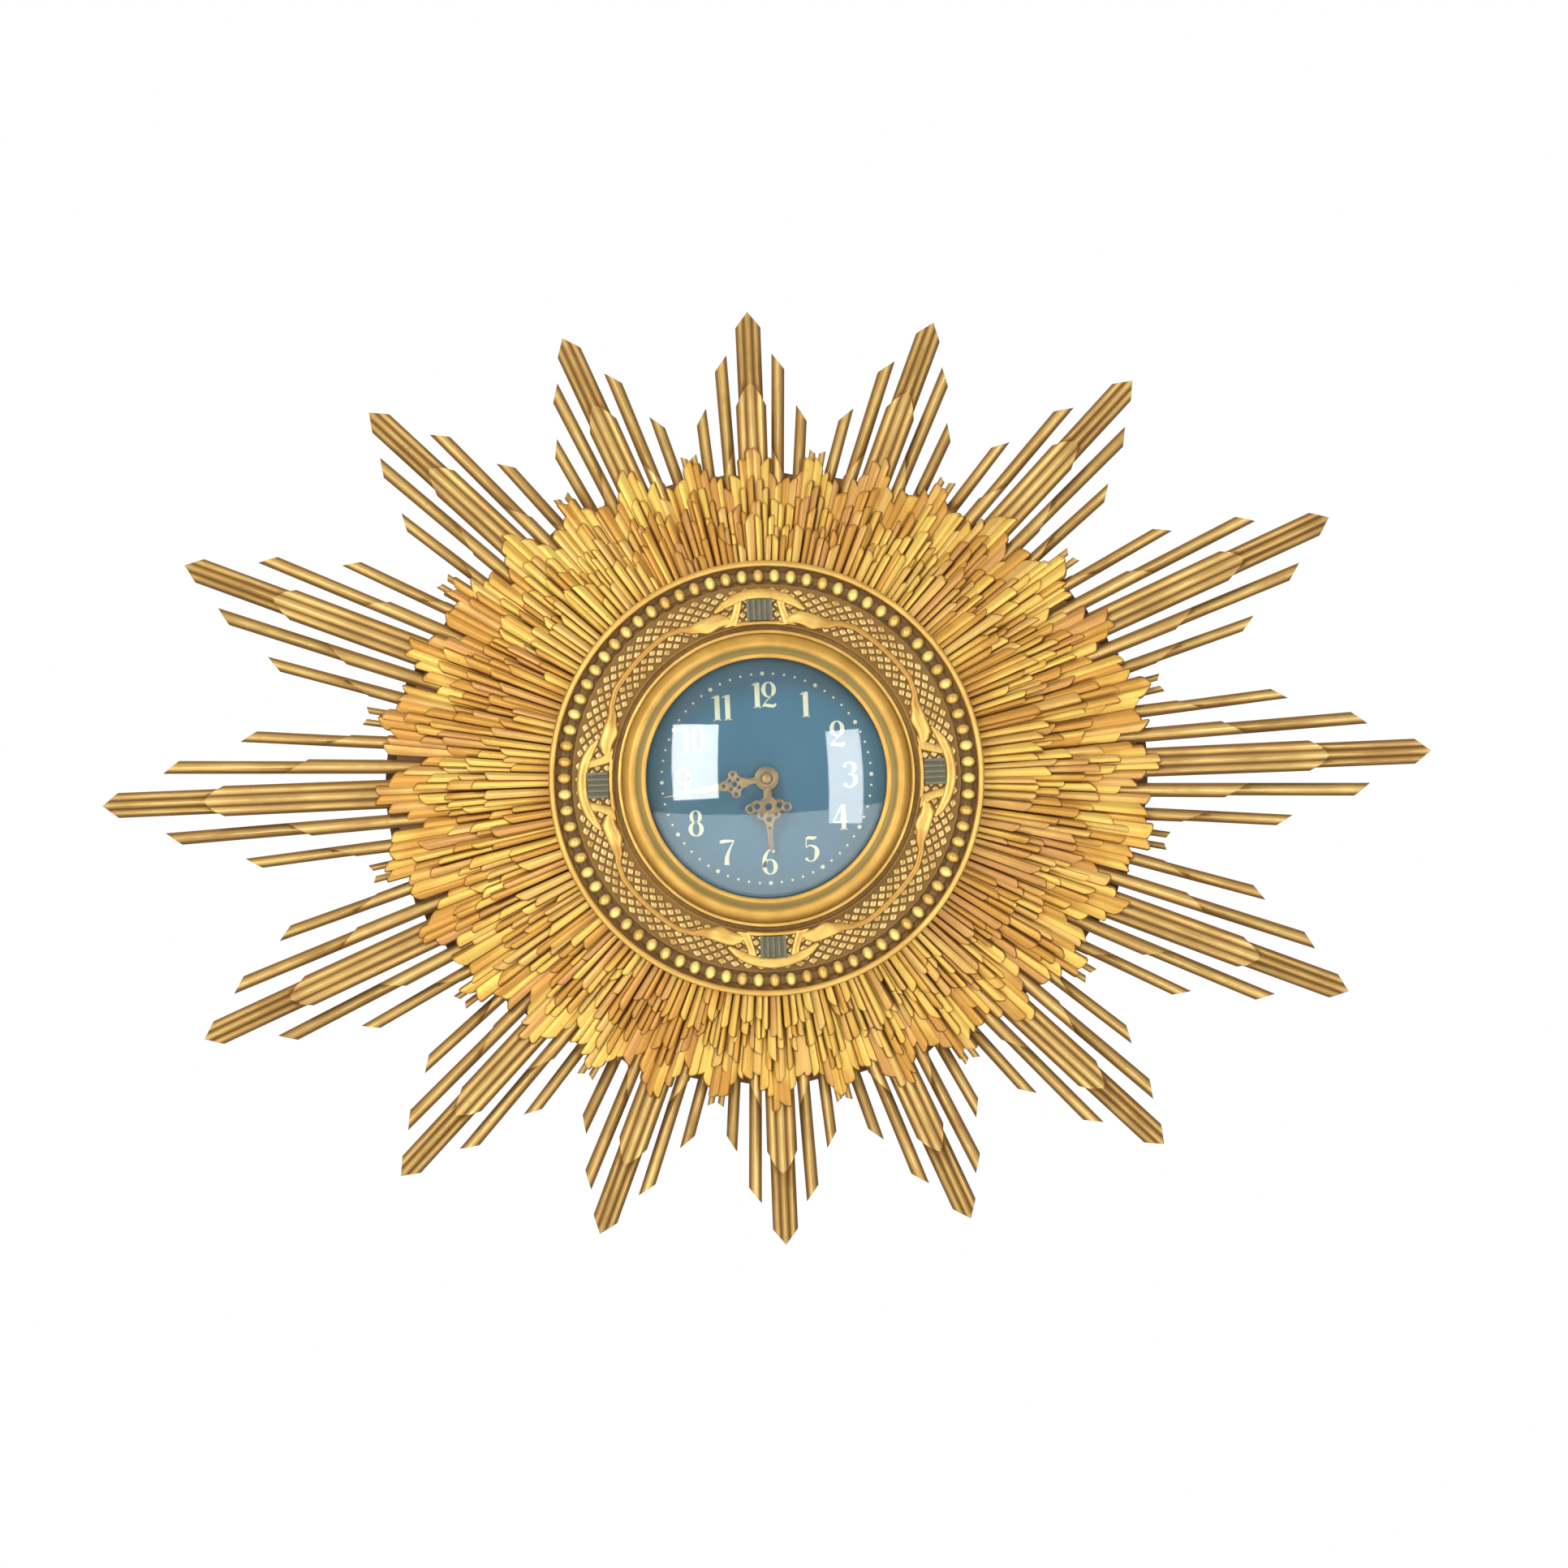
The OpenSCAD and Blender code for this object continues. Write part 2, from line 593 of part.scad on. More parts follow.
module hour_hand() {
    k = hour_len / 42;
    color([0.66, 0.50, 0.26])
        face()
            rotate(-hour_at)
                translate([0, 0, 41.2])
                    difference() {
                        union() {
                            disc(0, 0, 6.4);
                            blade(4, 2.2, 12, 2.2);
                            disc(0, 16, 5.6);
                            for (s = [-1, 1]) {
                                disc(6.4 * s, 15.4, 3.4);
                                disc(10.2 * s, 16.6, 2.9);
                                disc(4 * s, 20.4, 2.6);
                            }
                            disc(0, 22.6, 3.4);
                            blade(22.1, 2.6, 34 * k, 1.2);
                            blade(32 * k, 0.9, 36 * k, 1.8);
                            blade(35.9 * k, 1.8, hour_len, 0.2);
                        }
                        hole(0, 0, hour_tube_r);
                        hole(0, 16, 2);
                        for (s = [-1, 1]) {
                            hole(6.2 * s, 15.4, 1.7);
                            hole(10.3 * s, 16.6, 1.5);
                            hole(4 * s, 20.6, 1.1);
                        }
                        hole(0, 23.1, 1.5);
                        hole(0, 28, 0.8);
                    }
}

module hand_cap() {
    color([0.88, 0.70, 0.32])
        face()
            translate([0, 0, 44])
                difference() {
                    rotate_extrude($fn = 48)
                        polygon([[0, 0], [3.4, 0], [3.4, 1.2], [3, 2], [2.2, 2.6], [1.2, 2.9], [0, 3]]);
                    translate([0, 0, -1])
                        cylinder(r = minute_arbor_r, h = 2.6, $fn = 32);
                }
}

// movement
// outline of a gear with straight-flanked teeth, z teeth, module m, first tooth at angle p
tooth = [[-0.30, -1.2], [-0.19, 0], [-0.09, 0.85], [0.09, 0.85], [0.19, 0], [0.30, -1.2]];
function gear_points(z, m, p) = [for (k = [0:z - 1], c = tooth)
    let (r = z * m / 2 + c[1] * m, a = p + 360 * (k + c[0]) / z)
    [r * cos(a), r * sin(a)]];

module gear(c, z, m, p, z0, z1) {
    translate([c[0], c[1], z0])
        linear_extrude(z1 - z0)
            polygon(gear_points(z, m, p));
}

module rod(c, r, z0, z1) {
    translate([c[0], c[1], z0])
        cylinder(r = r, h = z1 - z0, $fn = 32);
}

pivot_r = 0.4;
blind = 0.8;
module arbor(c, r, z0, z1) {
    rod(c, pivot_r, case_back - blind + 0.1, case_in + blind - 0.1);
    rod(c, r, z0, z1);
}

module pivot_holes() {
    for (c = [c_third, c_sec, c_int, c_rot])
        rod(c, pivot_r + run_fit, case_back - blind, case_in + blind);
}

module movement_case() {
    inner = case_w - 2 * wall_t;
    color([0.13, 0.13, 0.14])
        face()
            difference() {
                union() {
                    difference() {
                        translate([-case_w / 2, -case_w / 2, case_back])
                            cube([case_w, case_w, case_t]);
                        translate([-inner / 2, -inner / 2, case_back - 1])
                            cube([inner, inner, case_t - wall_t + 1]);
                    }
                    translate([-inner / 2 - 0.1, -12.2 * share, case_back])
                        cube([inner + 0.2, 0.8, case_t - 0.5]);
                    rod(c_mot, 0.8, 27.2, case_in + 0.1);
                    for (c = [[21.5, -5], [21.5, 17]])
                        rod(c * share, 1.3, 18.3, case_in + 0.1);
                    for (c = [[-20, 20.8], [9.5, 21.6]])
                        rod(c * share, 1, 22.9, case_in + 0.1);
                }
                rod(c_min, bush_r, case_in - 1, case_front + 1);
                pivot_holes();
                rod(c_knob, 0.8 + run_fit, case_in - 1, case_in + blind);
            }
}

module movement_cover() {
    color([0.17, 0.17, 0.18])
        face()
            difference() {
                translate([-case_w / 2, -case_w / 2, case_back - cover_t])
                    cube([case_w, case_w, cover_t]);
                translate([-26.3 * share, -27.2 * share, case_back - cover_t - 1])
                    cube([52.6 * share, 14.4 * share, cover_t + 2]);
                pivot_holes();
                rod(c_min, 0.6 + run_fit, case_back - blind, case_back + 1);
                rod(c_knob, 1.5 + run_fit, case_back - cover_t - 1, case_back + 1);
            }
}

module threaded_bush() {
    color([0.85, 0.70, 0.35])
        face()
            difference() {
                rod(c_min, bush_r, case_in, 40.2);
                rod(c_min, hour_tube_r + run_fit, case_in - 1, 41);
            }
}

module rubber_washer() {
    color([0.08, 0.08, 0.08])
        face()
            difference() {
                rod(c_min, 10, case_front, ledge_z);
                rod(c_min, bush_r + 0.1, case_front - 1, ledge_z + 1);
            }
}

module brass_washer() {
    color([0.80, 0.65, 0.30])
        face()
            difference() {
                rod(c_min, 6.5, dial_z, dial_z + 0.5);
                rod(c_min, bush_r + 0.1, dial_z - 1, dial_z + 1);
            }
}

module hex_nut() {
    color([0.84, 0.68, 0.33])
        face()
            difference() {
                translate([0, 0, dial_z + 0.5])
                    cylinder(r = 5.8, h = 2.2, $fn = 6);
                rod(c_min, bush_r, dial_z - 1, dial_z + 4);
            }
}

battery_y = -19.8 * share;
battery_z = case_in - 7.25 * share;
module battery() {
    color([0.75, 0.60, 0.20])
        face()
            translate([-25 * share, battery_y, battery_z])
                rotate([0, 90, 0]) {
                    cylinder(r = 7.1 * share, h = 49.1 * share, $fn = 64);
                    translate([0, 0, 49 * share])
                        cylinder(r = 2.7, h = share, $fn = 32);
                }
}

module contact(s) {
    x = case_w / 2 - wall_t;
    color([0.80, 0.80, 0.78])
        face()
            union() {
                translate([s > 0 ? x - 0.4 : -x, battery_y - 4, battery_z - 5])
                    cube([0.4, 8, 10]);
                translate([s > 0 ? 25 * share : -x + 0.3, battery_y - 2, battery_z - 2])
                    cube([x - 0.3 - 25 * share, 4, 4]);
            }
}

module circuit_board() {
    color([0.12, 0.36, 0.20])
        face()
            union() {
                translate([17.2 * share, -9 * share, 17.3])
                    cube([9.4 * share, 29 * share, 1]);
                translate([19.4 * share, 2 * share, 18.2])
                    cube([5 * share, 5 * share, 1.2]);
                translate([24.6 * share, -6 * share, 19.2])
                    rotate([-90, 0, 0])
                        cylinder(r = 1, h = 6 * share, $fn = 24);
            }
}

coil_y = 23.8 * share;
module coil() {
    color([0.70, 0.32, 0.12])
        face()
            difference() {
                union() {
                    translate([-15 * share, coil_y, 22.5])
                        rotate([0, 90, 0])
                            cylinder(r = 2.4 * share, h = 20 * share, $fn = 32);
                    for (x = [-16 * share, 5 * share])
                        translate([x, coil_y, 22.5])
                            rotate([0, 90, 0])
                                cylinder(r = 3.1 * share, h = 1.2 * share, $fn = 32);
                }
                translate([-20 * share, coil_y - 1.4 * share, 22.1])
                    cube([30 * share, 2.8 * share, 0.8]);
            }
}

// the bar through the coil, two arms and the ring round the rotor, all of one sheet
module stator() {
    arm_a = [[-21.5, 23], [-21.5, 14], [-13.46, 11.9], [-13.46, 19.8], [-18.5, 21], [-18.5, 23]];
    arm_b = [[-13.46, 20.6], [-13.46, 19.2], [-9, 19.3], [11.5, 19.3], [11.5, 23], [8, 23], [8, 20.5],
        [-9, 20.5]];
    color([0.62, 0.62, 0.62])
        face()
            translate([0, 0, 22.1])
                linear_extrude(0.8)
                    difference() {
                        union() {
                            translate([-21.5 * share, coil_y - 1.4 * share])
                                square([33 * share, 2.8 * share]);
                            translate([c_rot[0], c_rot[1]])
                                circle(r = 4.8 * share, $fn = 48);
                            polygon([for (p = arm_a) p * share]);
                            polygon([for (p = arm_b) p * share]);
                        }
                        translate([c_rot[0], c_rot[1]])
                            circle(r = 3 * share, $fn = 48);
                    }
}

module rotor() {
    color([0.30, 0.30, 0.33])
        face()
            union() {
                arbor(c_rot, 0.45, 17, 24.5);
                rod(c_rot, 2.4 * share, 21.4, 23.6);
                gear(c_rot, rotor_z, m_fine, ph_rot, 18.2, 20.2);
            }
}

module intermediate_wheel() {
    color([0.90, 0.88, 0.80])
        face()
            union() {
                arbor(c_int, 0.45, 17, 23);
                gear(c_int, inter_z, m_fine, ph_int, 19, 19.8);
                gear(c_int, inter_p, m_fine, ph_int_p, 19.7, 21.7);
            }
}

module seconds_wheel() {
    color([0.86, 0.80, 0.62])
        face()
            union() {
                arbor(c_sec, 0.5, 17, 26);
                gear(c_sec, second_z, m_fine, ph_sec, 20.8, 21.5);
                gear(c_sec, second_p, m_fine, ph_sec_p, 21.4, 24.2);
            }
}

module third_wheel() {
    color([0.92, 0.90, 0.84])
        face()
            union() {
                arbor(c_third, 0.5, 17, 29);
                gear(c_third, third_z, m_fine, ph_third, 22.8, 23.6);
                gear(c_third, third_p, m_min, ph_third_p, 23.5, 26);
            }
}

module minute_wheel() {
    color([0.84, 0.72, 0.42])
        face()
            union() {
                rod(c_min, 0.6, case_back - blind + 0.1, 20);
                rod(c_min, minute_arbor_r, 19, 45.4);
                gear(c_min, minute_z, m_min, ph_min, 24.8, 25.6);
                gear(c_min, minute_p, m_mot, ph_min_p, 25.5, 28.4);
            }
}

module motion_wheel() {
    color([0.90, 0.88, 0.80])
        face()
            difference() {
                union() {
                    gear(c_mot, motion_z, m_mot, ph_mot, 27.4, 28.2);
                    gear(c_mot, motion_p, m_hour, ph_mot_p, 28.1, 30.5);
                }
                rod(c_mot, 0.8 + run_fit, 27, 31);
            }
}

module hour_wheel() {
    color([0.84, 0.72, 0.42])
        face()
            difference() {
                union() {
                    gear(c_min, hour_z, m_hour, ph_hour, 29.4, 30.3);
                    rod(c_min, hour_tube_r, 29, 42.2);
                }
                rod(c_min, minute_arbor_r + run_fit, 28, 43);
            }
}

module setting_knob() {
    color([0.20, 0.20, 0.21])
        face()
            union() {
                rod(c_knob, 1.5, case_back - 5, 27.3);
                rod(c_knob, 0.8, 27, case_in + blind - 0.1);
                gear(c_knob, knob_p, m_mot, ph_knob, 27.2, 28.4);
                difference() {
                    translate([c_knob[0], c_knob[1], case_back - cover_t - 5.4])
                        cylinder(r = knob_r, h = 5, $fn = 64);
                    for (k = [0:23])
                        translate([c_knob[0], c_knob[1], case_back - cover_t - 6])
                            rotate(15 * k)
                                translate([knob_r, 0, 0])
                                    cylinder(r = 0.45, h = 6.2, $fn = 16);
                }
            }
}

// back
hang_y = ring_r - 18;
module back_board() {
    color([0.62, 0.46, 0.30])
        face()
            difference() {
                cylinder(r = board_r, h = board_t, $fn = 180);
                translate([0, 0, -1])
                    cylinder(r = board_hole_r, h = board_t + 2, $fn = 144);
                translate([-15, hang_y - 20, -1])
                    cube([30, 40, 2.5]);
                translate([-7, hang_y - 9, 0])
                    cube([14, 22, 7]);
                for (y = [-15.5, 16.5])
                    translate([0, hang_y + y, 0])
                        cylinder(r = 1.4, h = 8, $fn = 24);
                for (k = [0:5])
                    rotate(60 * k)
                        translate([frame_screw_r, 0, 0]) {
                            translate([0, 0, -1])
                                cylinder(r = 2, h = board_t + 2, $fn = 24);
                            cylinder(r1 = 4.1, r2 = 2, h = 2.2, $fn = 24);
                            translate([0, 0, -1])
                                cylinder(r = 4.1, h = 1.01, $fn = 24);
                        }
            }
}

module frame_screws() {
    color([0.72, 0.68, 0.55])
        face()
            for (k = [0:5])
                rotate(60 * k)
                    translate([frame_screw_r, 0, 0]) {
                        cylinder(r1 = 4.1, r2 = 2, h = 2.2, $fn = 24);
                        translate([0, 0, 2])
                            cylinder(r = 2, h = 24, $fn = 24);
                    }
}

module hanger_plate() {
    color([0.80, 0.78, 0.68])
        face()
            difference() {
                translate([-15, hang_y - 20, 0])
                    cube([30, 40, 1.5]);
                translate([0, hang_y - 4, -1])
                    cylinder(r = keyhole_r, h = 4, $fn = 64);
                translate([-2, hang_y - 4, -1])
                    cube([4, 12, 4]);
                translate([0, hang_y + 8, -1])
                    cylinder(r = 2, h = 4, $fn = 48);
                for (y = [-15.5, 16.5])
                    translate([0, hang_y + y, 0]) {
                        translate([0, 0, -1])
                            cylinder(r = 1.4, h = 4, $fn = 24);
                        cylinder(r1 = 2.6, r2 = 1.4, h = 1.2, $fn = 24);
                    }
            }
}

module hanger_screws() {
    color([0.72, 0.68, 0.55])
        face()
            for (y = [-15.5, 16.5])
                translate([0, hang_y + y, 0]) {
                    cylinder(r1 = 2.6, r2 = 1.4, h = 1.2, $fn = 24);
                    translate([0, 0, 1])
                        cylinder(r = 1.4, h = 7, $fn = 24);
                }
}

bundle(0);  // ray_bundle_01
bundle(1);  // ray_bundle_02
bundle(2);  // ray_bundle_03
bundle(3);  // ray_bundle_04
bundle(4);  // ray_bundle_05
bundle(5);  // ray_bundle_06
bundle(6);  // ray_bundle_07
bundle(7);  // ray_bundle_08
bundle(8);  // ray_bundle_09
bundle(9);  // ray_bundle_10
bundle(10);  // ray_bundle_11
bundle(11);  // ray_bundle_12
bundle(12);  // ray_bundle_13
bundle(13);  // ray_bundle_14
bundle(14);  // ray_bundle_15
bundle(15);  // ray_bundle_16
finger_field_back();
finger_field_front();
ring_frame();
ring_beads();
ring_trellis();
ring_strap();
tablet(0);  // tablet_top
tablet(1);  // tablet_right
tablet(2);  // tablet_bottom
tablet(3);  // tablet_left
bezel();
glass();
glass_seat();
dial_plate();
mounting_plate();
plate_screws();
minute_hand();
hour_hand();
hand_cap();
movement_case();
movement_cover();
threaded_bush();
rubber_washer();
brass_washer();
hex_nut();
battery();
contact(1);  // contact_plus
contact(-1);  // contact_minus
circuit_board();
coil();
stator();
rotor();
intermediate_wheel();
seconds_wheel();
third_wheel();
minute_wheel();
motion_wheel();
hour_wheel();
setting_knob();
back_board();
frame_screws();
hanger_plate();
hanger_screws();
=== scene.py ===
import json
import random
from math import atan2, cos, degrees, hypot, pi, radians, sin

import bpy
from mathutils import Matrix, Vector

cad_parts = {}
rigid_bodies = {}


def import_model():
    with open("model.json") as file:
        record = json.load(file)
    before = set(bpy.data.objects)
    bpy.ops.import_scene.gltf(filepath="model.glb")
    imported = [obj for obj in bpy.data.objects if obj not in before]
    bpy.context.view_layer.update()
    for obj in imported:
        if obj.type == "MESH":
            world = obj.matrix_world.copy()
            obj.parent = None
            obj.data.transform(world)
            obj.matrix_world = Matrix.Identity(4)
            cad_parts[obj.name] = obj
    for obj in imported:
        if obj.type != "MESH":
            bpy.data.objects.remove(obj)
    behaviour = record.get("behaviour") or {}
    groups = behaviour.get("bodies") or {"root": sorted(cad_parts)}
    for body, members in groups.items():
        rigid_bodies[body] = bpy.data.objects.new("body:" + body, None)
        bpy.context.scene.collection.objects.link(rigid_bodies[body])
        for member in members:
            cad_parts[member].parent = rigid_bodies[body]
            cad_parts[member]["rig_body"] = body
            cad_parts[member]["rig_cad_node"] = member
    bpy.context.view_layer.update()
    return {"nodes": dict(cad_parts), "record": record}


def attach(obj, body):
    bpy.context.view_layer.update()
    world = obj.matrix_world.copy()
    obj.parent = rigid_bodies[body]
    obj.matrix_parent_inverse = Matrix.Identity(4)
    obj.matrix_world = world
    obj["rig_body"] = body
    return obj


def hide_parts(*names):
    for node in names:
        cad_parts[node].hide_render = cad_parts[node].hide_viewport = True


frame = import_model()
nodes = frame["nodes"]


# Where the eye stands. The clock was seen square on from three metres, hung 2.4 degrees
# out of true, so the eye is rolled by as much and a little off the axis.
roll = radians(-2.4)
looked_at = Vector((0, -0.04, 0))
eye_right, eye_up, eye_far = 0.0098, -0.0032, 3.0
eye_turn = Matrix.Rotation(pi / 2, 4, "X") @ Matrix.Rotation(roll, 4, "Z")
eye_place = looked_at + eye_turn @ Vector((eye_right, eye_up, eye_far))
eye = bpy.data.objects.new("eye", bpy.data.cameras.new("eye"))
bpy.context.scene.collection.objects.link(eye)
eye.data.lens = 123.0
eye.matrix_world = Matrix.Translation(eye_place) @ eye_turn
bpy.context.scene.camera = eye


# Backing board. A disc of beech plywood that every bundle of rays is glued to, bored in
# the middle for the works and sanded off at its edge. Six screws hold the ring to it.
home = {n: body for body, names in frame["record"]["behaviour"]["bodies"].items()
        for n in names}


def paint(red, green, blue):
    """A colour as a paint card gives it, 0 to 255, made linear."""
    return [(c / 255 / 12.92 if c <= 10 else ((c / 255 + 0.055) / 1.055) ** 2.4)
            for c in (red, green, blue)] + [1.0]


set_mode = bpy.ops.object.mode_set


def take(piece):
    """Puts everything else down and takes one piece in hand."""
    bpy.ops.object.select_all(action="DESELECT")
    piece.select_set(True)
    bpy.context.view_layer.objects.active = piece


def copied(pattern):
    """One more of a piece, with a mesh of its own."""
    one = pattern.copy()
    one.data = pattern.data.copy()
    bpy.context.scene.collection.objects.link(one)
    return one


def dressed(name, edge, finish, corner=30, flat=0.5, pared=None):
    """A welded copy of one of the frame's pieces, pared if need be. Facets within flat
    degrees of each other merge, arrises sharper than corner degrees are taken off by
    edge, in millimetres, and the rest is smoothed."""
    piece = copied(nodes[name])
    piece.parent = None
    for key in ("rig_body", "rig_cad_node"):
        del piece[key]
    piece.name = name + "_dressed"
    take(piece)
    set_mode(mode="EDIT")
    bpy.ops.mesh.select_all(action="SELECT")
    bpy.ops.mesh.customdata_custom_splitnormals_clear()
    bpy.ops.mesh.remove_doubles(threshold=2e-6)
    if pared:
        set_mode(mode="OBJECT")
        pared(piece)
        set_mode(mode="EDIT")
    bpy.ops.mesh.dissolve_limited(angle_limit=radians(flat))
    set_mode(mode="OBJECT")
    if edge:
        bevel = piece.modifiers.new("arris", "BEVEL")
        bevel.width = edge * 0.001
        bevel.segments = 2
        bevel.limit_method = "ANGLE"
        bevel.angle_limit = radians(corner)
        bpy.ops.object.modifier_apply(modifier="arris")
    bpy.ops.object.shade_smooth_by_angle(angle=radians(corner + 8))
    piece.data.materials.clear()
    piece.data.materials.append(finish)
    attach(piece, home[name])
    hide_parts(name)
    return piece


class Tone:
    """A socket of a finish. Sums written with it lay Math nodes in the finish's tree."""

    def __init__(self, tree, socket=None):
        self.tree = tree
        self.socket = socket

    def node(self, kind, settings=None, values=None, out=0):
        """A new node: its settings are set first, then its sockets are set or linked."""
        made = self.tree.nodes.new("ShaderNode" + kind)
        for name, value in (settings or {}).items():
            setattr(made, name, value)
        for name, value in (values or {}).items():
            if isinstance(value, Tone):
                self.tree.links.new(value.socket, made.inputs[name])
            else:
                made.inputs[name].default_value = value
        return Tone(self.tree, made.outputs[out])

    def maths(self, what, *terms):
        return self.node("Math", {"operation": what}, dict(enumerate(terms)))

    def __add__(self, other):
        return self.maths("ADD", self, other)

    def __sub__(self, other):
        return self.maths("SUBTRACT", self, other)

    def __rsub__(self, other):
        return self.maths("SUBTRACT", other, self)

    def __mul__(self, other):
        return self.maths("MULTIPLY", self, other)

    def __truediv__(self, other):
        return self.maths("DIVIDE", self, other)

    def __pow__(self, other):
        return self.maths("POWER", self, other)

    __radd__ = __add__
    __rmul__ = __mul__

    def step(self, low, high):
        """0 below low and 1 above high, eased between them."""
        return self.node("MapRange", {"interpolation_type": "SMOOTHSTEP"},
                         {"Value": self, "From Min": low, "From Max": high})

    def tint(self, under, over):
        """A colour between two, this being the share of the second."""
        return self.node("Mix", {"data_type": "RGBA"},
                         {0: self, 6: under, 7: over}, out=2)

    def noise(self, where, scale, detail=3.0, rough=0.55):
        return self.node("TexNoise", None,
                         {"Vector": where, "Scale": scale, "Detail": detail,
                          "Roughness": rough})

    def place(self):
        """The piece's own coordinates, in metres."""
        return self.node("TexCoord", out=3)

    def axes(self, where):
        split = self.node("SeparateXYZ", None, {0: where})
        return [Tone(self.tree, s) for s in split.socket.node.outputs]

    def polar(self):
        """How far out from the dial's axis, the angle round it, and how far back."""
        x, y, z = self.axes(self.place())
        return (x * x + z * z) ** 0.5, self.maths("ARCTAN2", x, z), y

    def wallward(self):
        """-1 on what faces the room, 0 on what stands square to it, 1 on the backs."""
        return self.axes(self.node("TexCoord", out=1))[1]

    def written(self, name):
        """A number that was written on the points of the mesh."""
        return self.node("Attribute", {"attribute_name": name}, out=2)

    def lay(self, **what):
        """Links what was worked out to the shader's sockets; a height goes through Bump."""
        shader = self.tree.nodes["Principled BSDF"]
        for socket, value in what.items():
            if socket == "Height":
                height, strength, depth = value
                value = self.node("Bump", None, {"Height": height, "Strength": strength,
                                                 "Distance": depth})
                socket = "Normal"
            self.tree.links.new(value.socket, shader.inputs[socket.replace("_", " ")])

    def end_in(self, last):
        """Ends the finish in another shader than the usual one."""
        nodes = self.tree.nodes
        nodes.remove(nodes["Principled BSDF"])
        self.tree.links.new(last.socket, nodes["Material Output"].inputs["Surface"])

    def join(self, x, y, z):
        return self.node("CombineXYZ", None, {0: x, 1: y, 2: z})


def new_finish(name, **plain):
    """A finish with its shader's plain values set, and a Tone to write on it with."""
    finish = bpy.data.materials.new(name)
    finish.use_nodes = True
    for socket, value in plain.items():
        shader = finish.node_tree.nodes["Principled BSDF"]
        shader.inputs[socket.replace("_", " ")].default_value = value
    return finish, Tone(finish.node_tree)


def darker(colour, share):
    """A darker shade of a colour."""
    return [c * share for c in colour[:3]] + [1]


def wood(name, pale, dark, rough=0.6):
    """Bare wood, its grain drawn out along one way, with pores and a little handling."""
    finish, t = new_finish(name)
    x, y, z = t.axes(t.place())
    grain = t.noise(t.join(x * 9, y * 90, z * 110), 1.0, 4, 0.6)
    rings = t.noise(t.join(x * 2, y * 60, z * 24), 1.0, 2)
    pores = t.noise(t.join(x * 60, y * 900, z * 900), 1.0, 2).step(0.62, 0.72)
    soil = t.noise(t.place(), 11, 3).step(0.45, 0.75)
    colour = (grain * 0.6 + rings * 0.5 - 0.05).tint(pale, dark)
    colour = (pores * 0.5).tint(colour, darker(dark, 0.5))
    colour = (soil * 0.35).tint(colour, darker(dark, 0.7))
    t.lay(Base_Color=colour, Roughness=grain * 0.2 + rough,
          Height=(grain * 0.5 - pores, 0.35, 0.0006))
    return finish


beech = wood("beech_ply", paint(196, 158, 112), paint(158, 112, 70))
piece = dressed("back_board", 0.8, beech)


# Screws and hanger plate. Bright zinc wood screws, and a stamped keyhole plate with a
# yellow zinc coat, let into the back of the board at the top and held by two screws.
def metal(name, bright, darkened, rough=0.32):
    """Plain or plated metal: rubbed in fine lines, clouded, a little pitted."""
    finish, t = new_finish(name)
    x, y, z = t.axes(t.place())
    lines = t.noise(t.join(x * 300, y * 2500, z * 2500), 1.0, 2)
    cloud = t.noise(t.place(), 140, 3)
    pits = t.noise(t.place(), 900, 2).step(0.66, 0.78)
    colour = (cloud * 0.9 + lines * 0.3 - 0.2).tint(bright, darkened)
    colour = (pits * 0.3).tint(colour, darker(darkened, 0.45))
    t.lay(Base_Color=colour, Metallic=0.95 - pits * 0.3,
          Roughness=lines * 0.15 + cloud * 0.2 + rough - 0.15,
          Height=(lines * 0.4 - pits, 0.2, 0.0002))
    return finish


zinc = metal("bright_zinc", paint(205, 206, 208), paint(160, 162, 166))
yellow_zinc = metal("yellow_zinc", paint(214, 190, 128), paint(176, 146, 96))
for name, finish, slot in (
    ("frame_screws", zinc, "steel"),
    ("hanger_screws", zinc, "steel"),
    ("hanger_plate", yellow_zinc, "yellow_steel"),
):
    piece = dressed(name, 0.2, finish)


# Bundles of rays. Sixteen limewood carvings in two steps, each with a fluted ray down the
# middle and pleated ones beside it, gilded over red bole, with umber glaze and painted shade
# in the valleys and painted highlight on the crests. Their crests fall away outwards, and
# their backs are left bare.
ray_pitch = 22.5
carved_fall = 0.02
crest_low, crest_high, crest_at, crest_play = 20.5, 27.0, 120.0, 0.7
# Depth below a crest at which the umber glaze and painted shade are full.
glaze_and_shade_depth = 1.85
burst_half_w, burst_half_h = 375.5, 263.5
notch_half_w, notch_half_h = 225.3, 177.1
bundle_half, main_half = 9, 2.4
main_step, side_step, pared_by = 0.8, 0.7, 0.045


def write(piece, name, values):
    """Writes a number on every point of a piece, for its finish to read."""
    attribute = piece.data.attributes.new(name, "FLOAT", "POINT")
    attribute.data.foreach_set("value", values)


def mark(piece, name, rule):
    """Writes a number that follows from the point's place, face up, in millimetres."""
    write(piece, name, [rule(v.co.x * 1000, v.co.z * 1000, -v.co.y * 1000)
                        for v in piece.data.vertices])


def sunk_in_bundle(x, y, h):
    """How far a point lies below the crest of its own carved step, as a share."""
    fall = carved_fall * (hypot(x, y) - crest_at)
    top = crest_high if h > crest_low - fall + crest_play else crest_low
    return max(0.0, min(1.5, (top - fall - h) / glaze_and_shade_depth))


def oval(angle, half_w, half_h):
    """How far an oval reaches at an angle from twelve o'clock."""
    return half_w * half_h / hypot(half_h * sin(angle), half_w * cos(angle))


def from_ray(angle):
    """Degrees from the nearest main ray."""
    return abs(degrees(angle) - ray_pitch * round(degrees(angle) / ray_pitch))


def near(value, middle, spread):
    """1 at the middle, and evenly down to 0 at the spread to either side."""
    return max(0.0, 1 - abs(value - middle) / spread)


